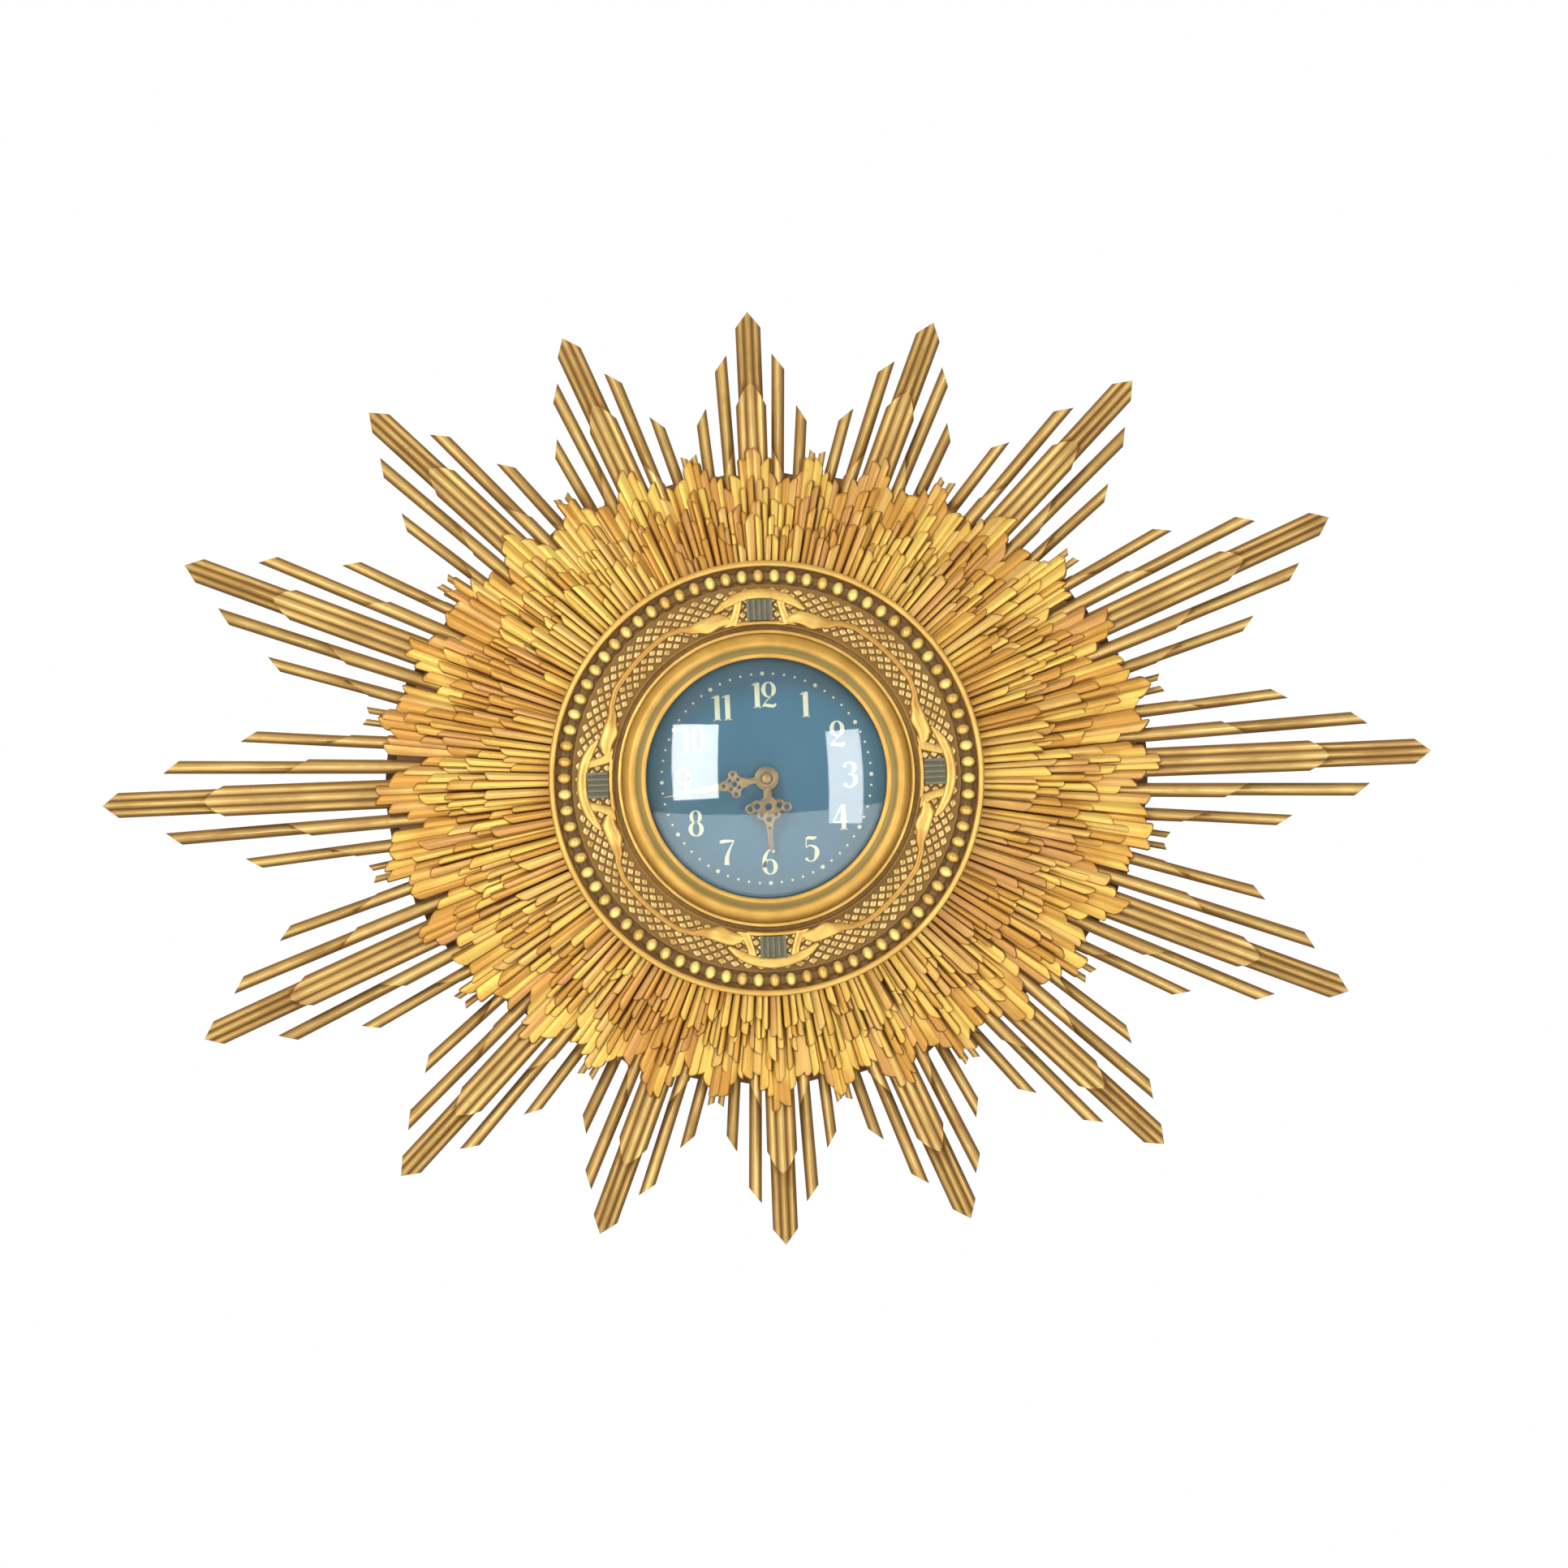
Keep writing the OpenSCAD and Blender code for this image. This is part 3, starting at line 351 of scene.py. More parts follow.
def cleaned_out(piece):
    """Takes the notches between rays a little deeper, and the ends of the upper step,
    at their shares of the way to the tips, a little further out."""
    for v in piece.data.vertices:
        x, y = v.co.x * 1000, v.co.z * 1000
        reach, angle = hypot(x, y), atan2(x, y)
        notch = reach / oval(angle, notch_half_w, notch_half_h)
        tip = reach / oval(angle, burst_half_w, burst_half_h)
        away = from_ray(angle)
        if away < bundle_half:
            step = (near(tip, main_step, 0.08) if away < main_half
                    else near(tip, side_step, 0.05) * 0.8)
            move = 1 - pared_by * near(notch, 1, 0.1) + pared_by * step
            v.co.x *= move
            v.co.z *= move


def gilding(name, low, mid, high, own_tone=0.0):
    """Old gilding: yellow leaf on the crests, partly brightened as painted highlight, redder
    and thinner on the slopes, umber glaze and painted shade in the valleys, fine streaks that
    run outwards along the carving, and bare wood behind. By own_tone each slip keeps a tone
    of its own, within wider clusters."""
    finish, t = new_finish(name, Specular_IOR_Level=0.2)
    spot = t.place()
    reach, angle, y = t.polar()
    across = angle * 0.25
    streak = t.noise(t.join(across * 620, reach * 34, y * 300), 1.0, 3, 0.6)
    grain = t.noise(t.join(across * 480, reach * 14, y * 90), 1.0, 3, 0.6)
    patch = t.noise(spot, 34, 3)
    cluster = t.noise(t.join(angle * 3.4, reach * 11, 0.0), 1.0, 2)
    speck = t.noise(spot, 380, 2, 0.6)
    sunk, tone, back = t.written("sunk"), t.written("tone"), t.wallward()
    steep = (1 + back).step(0.12, 0.85)
    light = (patch * 0.9 + streak * 0.7 - 0.4
             + (tone + cluster.step(0.35, 0.65) * 0.7 - 0.85) * own_tone)
    colour = light.step(0.0, 0.8).tint(low, mid)
    # The crests take the pale high colour: partly burnished leaf, partly painted highlight.
    crest_highlight = (1 - sunk).step(0.6, 0.98)
    colour = (crest_highlight * light.step(0.1, 0.75) * 0.85).tint(colour, high)
    pink = t.maths("FRACT", tone * 7.3).step(0.62, 0.8)
    colour = (pink * own_tone * 0.35).tint(colour, paint(176, 130, 90))
    bole = steep * (0.3 + patch * 0.6)
    colour = (bole * 0.65).tint(colour, paint(162, 108, 68))
    rubbed = speck.step(0.6, 0.74) * streak.step(0.42, 0.7)
    colour = (rubbed * 0.4).tint(colour, paint(128, 82, 46))
    # Umber glaze and painted shade darken what lies below the crests.
    glaze_and_shade = (sunk + streak * 0.5 - 0.25).step(0.42, 0.95)
    colour = (glaze_and_shade * 0.9).tint(colour, paint(122, 88, 42))
    bare = back.step(0.9, 0.98)
    colour = bare.tint(colour, (grain * 1.1 + patch * 0.5 - 0.3).tint(
        paint(206, 172, 126), paint(150, 110, 70)))
    t.lay(Base_Color=colour,
          Metallic=(1 - glaze_and_shade * 0.9) * (1 - rubbed * 0.6) * (1 - bare) * 0.34,
          Roughness=streak * 0.22 + glaze_and_shade * 0.25 + 0.32,
          Height=(streak * 0.7 + speck * 0.15, 0.35, 0.0005))
    return finish


gilt_rays = gilding("gilt_rays", paint(174, 134, 74), paint(214, 176, 100),
                    paint(240, 218, 146))
for name in sorted(n for n in nodes if n.startswith("ray_bundle")):
    piece = dressed(name, 0.32, gilt_rays, corner=14, flat=0.3, pared=cleaned_out)
    mark(piece, "sunk", sunk_in_bundle)


# Fingers. Blunt half-round slips in four tiers round the ring, whittled one by one, so
# their lengths, widths, leans and the depth of their gold all differ a little. They are
# glued over the roots of the rays, and the lowest tier closes the joints between bundles.
finger_w, finger_len, finger_deep = 5.6, 40.0, 5.4
finger_root, nose_round, back_round = 108.0, 2.1, 2.2
half_cell = ray_pitch / 2
face_up = Matrix.Scale(0.001, 4) @ Matrix.Rotation(pi / 2, 4, "X")


def started(primitive, **sizes):
    """A new piece from a primitive, in hand, its size and place in its mesh."""
    bpy.ops.object.select_all(action="DESELECT")
    primitive(**sizes)
    bpy.ops.object.transform_apply()
    return bpy.context.object


def cut(piece, what, test, tool, **how):
    """Uses a tool on only the edges or faces of a piece that pass a test."""
    take(piece)
    set_mode(mode="EDIT")
    bpy.ops.mesh.select_mode(type="EDGE" if what == "edges" else "FACE")
    bpy.ops.mesh.select_all(action="DESELECT")
    set_mode(mode="OBJECT")
    points = piece.data.vertices
    for part in piece.data.edges if what == "edges" else piece.data.polygons:
        part.select = test([points[i].co for i in part.vertices])
    set_mode(mode="EDIT")
    tool(**how)
    set_mode(mode="OBJECT")


def whittled_finger():
    """One slip, root at y = 0: its end rounded in plan, then its back rounded over."""
    slip = started(bpy.ops.mesh.primitive_cube_add, size=1,
                   location=(0, finger_len / 2, finger_deep / 2),
                   scale=(finger_w, finger_len, finger_deep))
    cut(slip, "edges", lambda p: all(q.y > finger_len - 0.1 for q in p)
        and abs(p[0].z - p[1].z) > 1,
        bpy.ops.mesh.bevel, offset=nose_round, segments=2)
    cut(slip, "edges", lambda p: all(q.z > finger_deep - 0.1 for q in p)
        and not all(q.y < 0.1 for q in p),
        bpy.ops.mesh.bevel, offset=back_round, segments=2)
    return slip


def joined(pieces, name, corner=None):
    """Joins what was laid out face up, stands it up on the wall and smooths it."""
    take(pieces[0])
    for piece in pieces:
        piece.select_set(True)
    bpy.ops.object.join()
    pieces[0].name = name
    pieces[0].data.transform(face_up)
    if corner:
        bpy.ops.object.shade_smooth_by_angle(angle=radians(corner))
    return pieces[0]


def whittled_tier(name, pattern, in_half, top, reach, ragged, filled, seed):
    """Copies the slip round the ring and joins the copies. A joint between two slips lies
    on every ray and halfway between two; slips that fill more than their share of the
    round overlap, and close the joints of the rays below."""
    luck = random.Random(seed)
    # The low sides of each slip are written as sunk, for glaze and painted shade in the gaps
    # between slips.
    depths = [min(1.4, max(0.0, (finger_deep - 0.4 - v.co.z) / 2.7))
              for v in pattern.data.vertices]
    spans = []
    for cell in range(round(360 / half_cell)):
        wide = [luck.choice([0.8, 0.9, 1, 1, 1.1, 1.3, 1.5]) for k in range(in_half)]
        spans += [radians(w / sum(wide) * half_cell) for w in wide]
    slips = []
    turn = 0.0
    for span in spans:
        angle = turn + span / 2
        turn += span
        length = reach(angle) * luck.uniform(1 - ragged, 1) - finger_root
        pitch = span * filled
        lower = luck.uniform(0, 1.5)
        rolled = radians(luck.uniform(-16, 16))
        lean = radians(luck.uniform(-14, 14) * ragged)
        tone = luck.random() ** 1.2
        slant = luck.uniform(0.2, 1.1) * luck.choice([-1, 1])
        slip = copied(pattern)
        for v in slip.data.vertices:
            outward = v.co.y > finger_len / 2
            v.co.x *= pitch * (finger_root + (length if outward else 0)) / finger_w
            if outward:
                v.co.y += length - finger_len + slant * v.co.x
            v.co.z -= finger_deep
        slip.data.transform(
            Matrix.Rotation(-angle, 4, "Z")
            @ Matrix.Translation((0, finger_root, top - lower))
            @ Matrix.Rotation(lean, 4, "Z")
            @ Matrix.Rotation(-carved_fall, 4, "X")
            @ Matrix.Rotation(rolled, 4, "Y"))
        write(slip, "tone", [tone] * len(depths))
        write(slip, "sunk", depths)
        slips.append(slip)
    return joined(slips, name, corner=32)


def peaked(on_ray, between, low):
    """A rule for lengths: they climb in steps to each ray and to each leaf between two."""
    ray_ends, leaf_starts, climb = 5.4, 8.7, 0.026

    def reach(angle):
        away = from_ray(angle)
        if away < ray_ends:
            shape, fall = on_ray, climb * away
        elif away > leaf_starts:
            shape, fall = between, climb * (half_cell - away)
        else:
            shape, fall = low, 0.0
        return oval(angle, *shape) * (1 - fall)
    return reach


gilt_fingers = gilding("gilt_fingers", paint(178, 129, 54), paint(200, 155, 62),
                       paint(208, 174, 86), own_tone=1.0)
slip = whittled_finger()
for name, in_half, top, reach, ragged, filled, seed in (
    ("fingers_web", 8, 30.2, peaked((226, 190), (229, 186), (217, 171)), 0.015, 1.35, 3),
    ("fingers_back", 7, 32.8, peaked((208, 175), (214, 173), (188, 156)), 0.04, 0.98, 12),
    ("fingers_middle", 7, 35.4, peaked((192, 165), (198, 163), (172, 146)), 0.06, 0.97, 5),
    ("fingers_front", 6, 38.0, peaked((176, 157), (174, 153), (158, 140)), 0.08, 0.97, 8),
):
    piece = whittled_tier(name, slip, in_half, top, reach, ragged, filled, seed)
    piece.data.materials.append(gilt_fingers)
    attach(piece, "clock")
    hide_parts("finger_field_front" if name == "fingers_front"
                else "finger_field_back")
bpy.data.objects.remove(slip)


# Ring. One turned piece of limewood with a rounded rim and a sunk channel for the beads,
# gessoed, gilded and burnished on the rim, its floors left brown with glaze and painted
# shade.
def turned_gold(name, deep_below, deep_span, bright, mid, gloss=0.36):
    """Gilding on turned work: fine rings of wear, darker by depth under a given height as
    glaze and painted shade, and darker still where a share is written, as painted shade.
    """
    finish, t = new_finish(name, Specular_IOR_Level=0.2)
    spot = t.place()
    reach, angle, y = t.polar()
    rings = t.noise(t.join(reach * 900, angle * 2.5, y * 500), 1.0, 3)
    patch = t.noise(spot, 45, 4, 0.6)
    speck = t.noise(spot, 700, 2, 0.7)
    # Glaze and painted shade below deep_below: on the ring the channel floors, on the strap
    # its edges.
    deep = (deep_below * 0.001 + y).step(0, deep_span * 0.001)
    steep = (1 + t.wallward()).step(0.3, 0.95)
    # A share written on the points takes the gold down, as painted shade.
    light = patch * 0.9 + rings * 0.4 - 0.2 - t.written("darkened")
    colour = light.step(0.1, 0.9).tint(mid, bright)
    colour = (steep * (0.35 + patch * 0.4)).tint(colour, paint(134, 90, 38))
    rubbed = speck.step(0.6, 0.75) * patch.step(0.4, 0.7)
    colour = (rubbed * 0.45).tint(colour, paint(132, 84, 40))
    colour = (deep * (0.6 + speck * 0.5)).tint(colour, paint(110, 78, 34))
    t.lay(Base_Color=colour, Metallic=(1 - deep * 0.8) * 0.4,
          Roughness=rings * 0.16 + rubbed * 0.2 + deep * 0.3 + gloss - 0.06,
          Height=(rings * 0.4 + speck * 0.3, 0.25, 0.0004))
    return finish


gilt_ring = turned_gold("gilt_ring", 43.9, 2.2, paint(226, 184, 98), paint(180, 140, 68))
piece = dressed("ring_frame", 0.5, gilt_ring, corner=35, flat=0.2)


# Beads. Seventy-eight turned beads, a little longer outwards than across, strung on a
# thin strip in the channel; the leaf is bright on top and brown round each foot, from glaze
# and painted shade.
bead_count, bead_row, bead_floor = 78, 113.2, 41.5
bead_r, bead_shape, bead_cut, bead_lift = 3, (1.0, 1.3, 1.05), 1.6, 1.7
strip_half, strip_top = 2, 42.5


def gilt_grains(name, foot, crown, bright, mid, dark):
    """Gilding on small moulded forms: bright crowns, and brown glaze and painted shade
    round their feet.
    """
    finish, t = new_finish(name, Specular_IOR_Level=0.2)
    spot = t.place()
    y = t.axes(spot)[1]
    patch = t.noise(spot, 60, 3)
    speck = t.noise(spot, 800, 2, 0.7)
    up = (0 - y * 1000 - foot) / (crown - foot)
    light = patch * 0.7 + t.written("tone") * 0.7 - 0.2
    colour = light.step(0.1, 0.9).tint(mid, bright)
    # Glaze and painted shade round the feet, and over the floor between the forms.
    glaze_and_shade = (1 - up + (speck - 0.5) * 0.4).step(0.3, 0.9)
    colour = glaze_and_shade.tint(colour, dark)
    t.lay(Base_Color=colour, Metallic=(1 - glaze_and_shade * 0.8) * 0.34,
          Roughness=speck * 0.2 + glaze_and_shade * 0.3 + 0.22, Height=(speck, 0.2, 0.0004))
    return finish


def ringed(name, pattern, places, finish, seed):
    """Copies a small form to its places, each in a tone of its own, and joins them."""
    luck = random.Random(seed)
    copies = []
    for place in places:
        one = copied(pattern)
        one.data.transform(place)
        write(one, "tone", [luck.random()] * len(one.data.vertices))
        copies.append(one)
    piece = joined(copies, name, corner=50)
    piece.data.materials.append(finish)
    return piece


def turned_strip(name, inner, outer, low, high, finish):
    """A flat ring, made face up: a circle drawn out to a band, then raised."""
    strip = started(bpy.ops.mesh.primitive_circle_add, vertices=180, radius=inner,
                    location=(0, 0, low))
    set_mode(mode="EDIT")
    bpy.ops.mesh.select_mode(type="VERT")
    bpy.ops.mesh.select_all(action="SELECT")
    bpy.ops.mesh.extrude_region_move()
    bpy.ops.transform.resize(value=(outer / inner, outer / inner, 1),
                             center_override=(0, 0, low))
    bpy.ops.mesh.select_all(action="SELECT")
    bpy.ops.mesh.extrude_region_move(TRANSFORM_OT_translate={"value": (0, 0, high - low)})
    bpy.ops.mesh.select_all(action="SELECT")
    bpy.ops.mesh.remove_doubles(threshold=1e-4)
    bpy.ops.mesh.normals_make_consistent(inside=False)
    set_mode(mode="OBJECT")
    strip.name = name
    strip.data.transform(face_up)
    strip.data.materials.append(finish)
    return strip


bead = started(bpy.ops.mesh.primitive_uv_sphere_add, segments=14, ring_count=8,
               radius=bead_r)
set_mode(mode="EDIT")
bpy.ops.mesh.select_all(action="SELECT")
bpy.ops.transform.resize(value=bead_shape)
bpy.ops.mesh.bisect(plane_co=(0, 0, -bead_cut), plane_no=(0, 0, 1), clear_inner=True,
                    use_fill=True)
set_mode(mode="OBJECT")
bead_places = [Matrix.Rotation(-2 * pi * k / bead_count, 4, "Z")
               @ Matrix.Translation((0, bead_row, bead_floor + bead_lift))
               for k in range(bead_count)]
gilt_beads = gilt_grains("gilt_beads", 41.9, 44.9, paint(242, 212, 124),
                         paint(204, 162, 84), paint(108, 78, 34))
beads = ringed("beads", bead, bead_places, gilt_beads, 21)
bpy.data.objects.remove(bead)
strip = turned_strip("bead_strip", bead_row - strip_half, bead_row + strip_half,
                     bead_floor, strip_top, gilt_beads)
for piece in (beads, strip):
    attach(piece, "clock")
    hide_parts("ring_beads")


# Trellis. Seven rows of small diamond pellets pressed from composition onto a thin plate,
# set half a step over from row to row, so brown lines of glaze and painted shade cross
# between them.
trellis_in, trellis_out, trellis_floor, trellis_top = 86.3, 108.4, 43.0, 43.7
trellis_margin, pellet_rows, pellet_count = 0.6, 7, 90
pellet_share, pellet_long, pellet_high = 0.49, 2.6, 0.8
pellet = started(bpy.ops.mesh.primitive_cube_add, size=1, location=(0, 0, 0.35),
                 scale=(1, 1, 1.3), rotation=(0, 0, pi / 4))
cut(pellet, "edges", lambda p: abs(p[0].z - p[1].z) > 0.5,
    bpy.ops.mesh.bevel, offset=0.16, segments=1)
cut(pellet, "faces", lambda p: all(q.z > 0.9 for q in p),
    bpy.ops.mesh.inset, thickness=0.2, depth=0.28)
places = []
row_step = (trellis_out - trellis_in - 2 * trellis_margin) / (pellet_rows + 1)
for row in range(pellet_rows):
    row_r = trellis_in + trellis_margin + row_step * (row + 1)
    across = 2 * pi * row_r / pellet_count * pellet_share
    for k in range(pellet_count):
        places.append(
            Matrix.Rotation(-2 * pi * (k + (row % 2) / 2) / pellet_count, 4, "Z")
            @ Matrix.Translation((0, row_r, trellis_floor + 0.6))
            @ Matrix.Diagonal((across, pellet_long, pellet_high, 1)))
gilt_trellis = gilt_grains("gilt_trellis", 43.6, 44.5, paint(196, 166, 104),
                           paint(166, 132, 70), paint(134, 98, 42))
pellets = ringed("trellis_pellets", pellet, places, gilt_trellis, 34)
bpy.data.objects.remove(pellet)
plate = turned_strip("trellis_plate", trellis_in, trellis_out, trellis_floor,
                     trellis_top, gilt_trellis)
for piece in (pellets, plate):
    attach(piece, "clock")
    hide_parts("ring_trellis")


# Strap. A crowned ribbon that runs round the band, swells into a leaf either side of each
# tablet, and passes under an arch with two posts; all carved, gilded and burnished.
band_in, band_out, strap_floor, strap_w = 86.0, 108.6, 43.6, 3.5
leaf_step, leaf_rise = 1.25, 1.2
arch_half, arch_w, arch_rise, arch_at, arch_dip = 15, 3.0, 2.7, 0.764, 0.25
post_top, post_foot, post_rise, post_steps = (5.1, 8.3), (8.3, 13.9), 2.0, 12
crown = [(-1, 0), (-1, 0.6), (-0.76, 0.88), (-0.34, 1), (0.34, 1), (0.76, 0.88),
         (1, 0.6), (1, 0)]


def band(share):
    """A radius on the band, from 0 at its inner edge to 1 at its outer one."""
    return band_in + share * (band_out - band_in)


def read_off(table, at):
    """A value read between the lines of a table."""
    for (a, low), (b, high) in zip(table, table[1:]):
        if at <= b:
            part = (at - a) / (b - a)
            part = part * part * (3 - 2 * part)
            return low + (high - low) * part
    return table[-1][1]


def laid(name, rows, loop=False):
    """A bar laid along a line: a grid's points are moved onto its cross sections, then
    the seams are welded and open ends filled."""
    rows = rows + rows[:1] if loop else rows
    rows = [list(row) + [row[0]] for row in rows]
    piece = started(bpy.ops.mesh.primitive_grid_add, x_subdivisions=len(rows) - 1,
                    y_subdivisions=len(rows[0]) - 1, size=2)
    points = [p for row in rows for p in row]
    order = sorted(piece.data.vertices, key=lambda v: (round(v.co.x, 5), round(v.co.y, 5)))
    for vertex, point in zip(order, points):
        vertex.co = point
    set_mode(mode="EDIT")
    bpy.ops.mesh.select_all(action="SELECT")
    bpy.ops.mesh.remove_doubles(threshold=1e-4)
    bpy.ops.mesh.fill_holes(sides=0)
    bpy.ops.mesh.select_all(action="SELECT")
    bpy.ops.mesh.normals_make_consistent(inside=False)
    set_mode(mode="OBJECT")
    piece.name = name
    return piece


def crowned(middle, side, half, low, rise):
    """One cross section of the ribbon, on a middle point and a unit sideways."""
    return [(middle[0] + side[0] * u * half, middle[1] + side[1] * u * half,
             low + rise * v) for u, v in crown]


def radial_rows(angles, mid, half, low, rise):
    """Cross sections at angles round the dial, each square to the round."""
    rows = []
    for a in angles:
        out = (sin(radians(a)), cos(radians(a)))
        r = mid(a)
        rows.append(crowned((out[0] * r, out[1] * r), out, half(a), low, rise(a)))
    return rows


leaf_mid = [(0, 0.053), (9, 0.053), (11.5, 0.212), (14, 0.261), (19, 0.221), (24, 0.292),
            (28.5, 0.442), (33, 0.513), (45, 0.509)]
leaf_half = [(0, 0.34), (9, 0.34), (11.5, 0.78), (14, 1.12), (19, 1.3), (24, 0.84),
             (28.5, 0.5), (45, 0.46)]


def from_tablet(a):
    """Degrees from the nearest tablet."""
    return abs(a - 90 * round(a / 90))


pieces = [laid("strap_leaves", radial_rows(
    [leaf_step * k for k in range(round(360 / leaf_step))],
    lambda a: band(read_off(leaf_mid, from_tablet(a))),
    lambda a: strap_w * read_off(leaf_half, from_tablet(a)),
    strap_floor,
    lambda a: leaf_rise + leaf_rise * read_off(leaf_half, from_tablet(a))), loop=True)]
for quarter in range(4):
    turn = 90 * quarter
    pieces.append(laid(f"strap_arch_{quarter}", radial_rows(
        [turn + a for a in range(-arch_half, arch_half + 1)],
        lambda a: band(arch_at - arch_dip * ((a - turn) / 14) ** 2),
        lambda a: arch_w * read_off([(0, 1), (9, 0.95), (13, 0.7), (arch_half, 0.3)],
                                    abs(a - turn)),
        strap_floor, lambda a: arch_rise)))
    for side in (-1, 1):
        rows = []
        for k in range(post_steps + 1):
            share = k / post_steps
            inner = post_top[0] + (post_foot[0] - post_top[0]) * share ** 1.4
            outer = post_top[1] + (post_foot[1] - post_top[1]) * share ** 2.4
            radius = band(0.72 - 0.67 * share)
            middle = radians(turn + side * (inner + outer) / 2)
            half = radians((outer - inner) / 2) * radius
            across = (cos(middle), -sin(middle))
            rows.append(crowned((sin(middle) * radius, cos(middle) * radius),
                                across, half, strap_floor, post_rise))
        pieces.append(laid(f"strap_post_{quarter}_{side + 1}", rows))
strap = joined(pieces, "strap", corner=55)
# Painted shade: the thin ribbon is darkened away from the tablets.
mark(strap, "darkened", lambda x, y, h: 0.8 * min(1, max(0, (
    from_tablet(degrees(atan2(x, y))) - 20) / 10)))
gilt_strap = turned_gold("gilt_strap", 44.9, 1.0, paint(236, 202, 112),
                         paint(172, 130, 62), 0.34)
strap.data.materials.append(gilt_strap)
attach(strap, "clock")
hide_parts("ring_strap")


# Tablets. Four small fluted blocks at the quarters, painted a grey green over the gesso,
# rubbed paler on their ridges, and glued inside the arches.
tablet_top, flute_deep = 46.4, 0.9
tablet_paint, t = new_finish("tablet_paint")
spot = t.place()
patch = t.noise(spot, 260, 3)
speck = t.noise(spot, 900, 2, 0.7)
# Painted shade: the flutes darken with their depth.
depth = (t.axes(spot)[1] * 1000 + tablet_top).step(0, flute_deep)
colour = patch.tint(paint(118, 112, 80), paint(94, 92, 68))
colour = (depth * 0.75).tint(colour, paint(48, 46, 32))
colour = (speck.step(0.6, 0.75) * 0.5).tint(colour, paint(168, 150, 98))
t.lay(Base_Color=colour, Roughness=patch * 0.25 + 0.45, Height=(speck, 0.3, 0.0004))
for side in ("top", "right", "bottom", "left"):
    piece = dressed("tablet_" + side, 0.22, tablet_paint, corner=40)


# Mounting plate. A disc of brown hardboard on the ledge inside the ring, held by four
# small countersunk screws. It carries the movement behind it and the dial in front.
hardboard = wood("hardboard", paint(134, 98, 62), paint(98, 68, 42), 0.65)
piece = dressed("mounting_plate", 0.25, hardboard)
piece = dressed("plate_screws", 0.12, zinc)


# Movement. A moulded black case with its rear cover, a hand-setting knob at the back, and
# a brass bush through the plate with a nut and washers in front.
def moulded(name, colour, other, rough=0.42, grit=900):
    """Moulded plastic or rubber: a fine spark texture, faint flow marks, some dust."""
    finish, t = new_finish(name)
    spot = t.place()
    spark = t.noise(spot, grit, 3, 0.65)
    flow = t.noise(spot, 70, 2)
    dust = t.noise(spot, 240, 3).step(0.55, 0.8)
    shade = (flow * 0.8 + spark * 0.3 - 0.1).tint(colour, other)
    shade = (dust * 0.18).tint(shade, [min(1, c * 1.6 + 0.03) for c in other[:3]] + [1])
    t.lay(Base_Color=shade, Roughness=spark * 0.2 + dust * 0.15 + rough - 0.1,
          Height=(spark, 0.25, 0.0003))
    return finish


black_plastic = moulded("black_plastic", paint(34, 34, 36), paint(48, 48, 50))
brass = metal("turned_brass", paint(222, 184, 104), paint(186, 142, 70), 0.3)
rubber = moulded("rubber", paint(30, 29, 28), paint(44, 42, 40), 0.7, 500)
for name, edge, finish, slot in (
    ("movement_case", 0.5, black_plastic, "black_plastic"),
    ("movement_cover", 0.3, black_plastic, "black_plastic"),
    ("setting_knob", 0.25, black_plastic, "black_plastic"),
    ("threaded_bush", 0.15, brass, "gilt_brass"),
    ("brass_washer", 0.1, brass, "gilt_brass"),
    ("hex_nut", 0.2, brass, "gilt_brass"),
    ("rubber_washer", 0.15, rubber, "rubber"),
):
    piece = dressed(name, edge, finish, corner=35)


# Drive. An AA cell in its bay with two sprung contacts, a small board, and a coil wound
# from copper wire on its stator, which steps the magnet rotor round.
jacket_end = -14.2
cell, t = new_finish("cell_jacket", Coat_Weight=0.4, Coat_Roughness=0.15)
spot = t.place()
along = t.axes(spot)[0]
flow = t.noise(spot, 90, 2)
wrap = (along * 1000).step(jacket_end, jacket_end + 0.6)
colour = wrap.tint(paint(196, 124, 62), paint(40, 42, 48))
colour = (flow * 0.3).tint(colour, paint(82, 80, 78))
t.lay(Base_Color=colour, Roughness=flow * 0.2 + 0.22,
      Height=(t.noise(spot, 800, 2), 0.1, 0.0002))
board_green, t = new_finish("board_green")
spot = t.place()
weave = t.node("TexBrick", None,
               {"Vector": spot, "Scale": 420.0, "Color1": paint(38, 92, 58),
                "Color2": paint(32, 84, 52), "Mortar": paint(52, 108, 70)})
tracks = t.noise(spot, 160, 1).step(0.54, 0.58)
t.lay(Base_Color=(tracks * 0.7).tint(weave, paint(70, 128, 74)),
      Roughness=tracks * 0.1 + 0.32, Height=(tracks, 0.3, 0.0001))
copper, t = new_finish("copper_wire", Metallic=0.9)
spot = t.place()
# Painted shade and highlight: dark and bright bands across the turns of the round wire.
wires = t.node("TexWave", {"wave_type": "BANDS", "bands_direction": "X"},
               {"Vector": spot, "Scale": 900.0, "Distortion": 0.6}, out=1)
t.lay(Base_Color=wires.tint(paint(120, 58, 30), paint(214, 122, 74)),
      Roughness=wires * 0.15 + 0.25, Height=(wires, 0.6, 0.0002))
for name, edge, finish, slot in (
    ("battery", 0.4, cell, "cell_jacket"),
    ("contact_plus", 0.08, zinc, "steel"),
    ("contact_minus", 0.08, zinc, "steel"),
    ("circuit_board", 0.08, board_green, "board_green"),
    ("coil", 0.3, copper, "copper_wire"),
    ("stator", 0.06, zinc, "steel"),
):
    piece = dressed(name, edge, finish, corner=35)


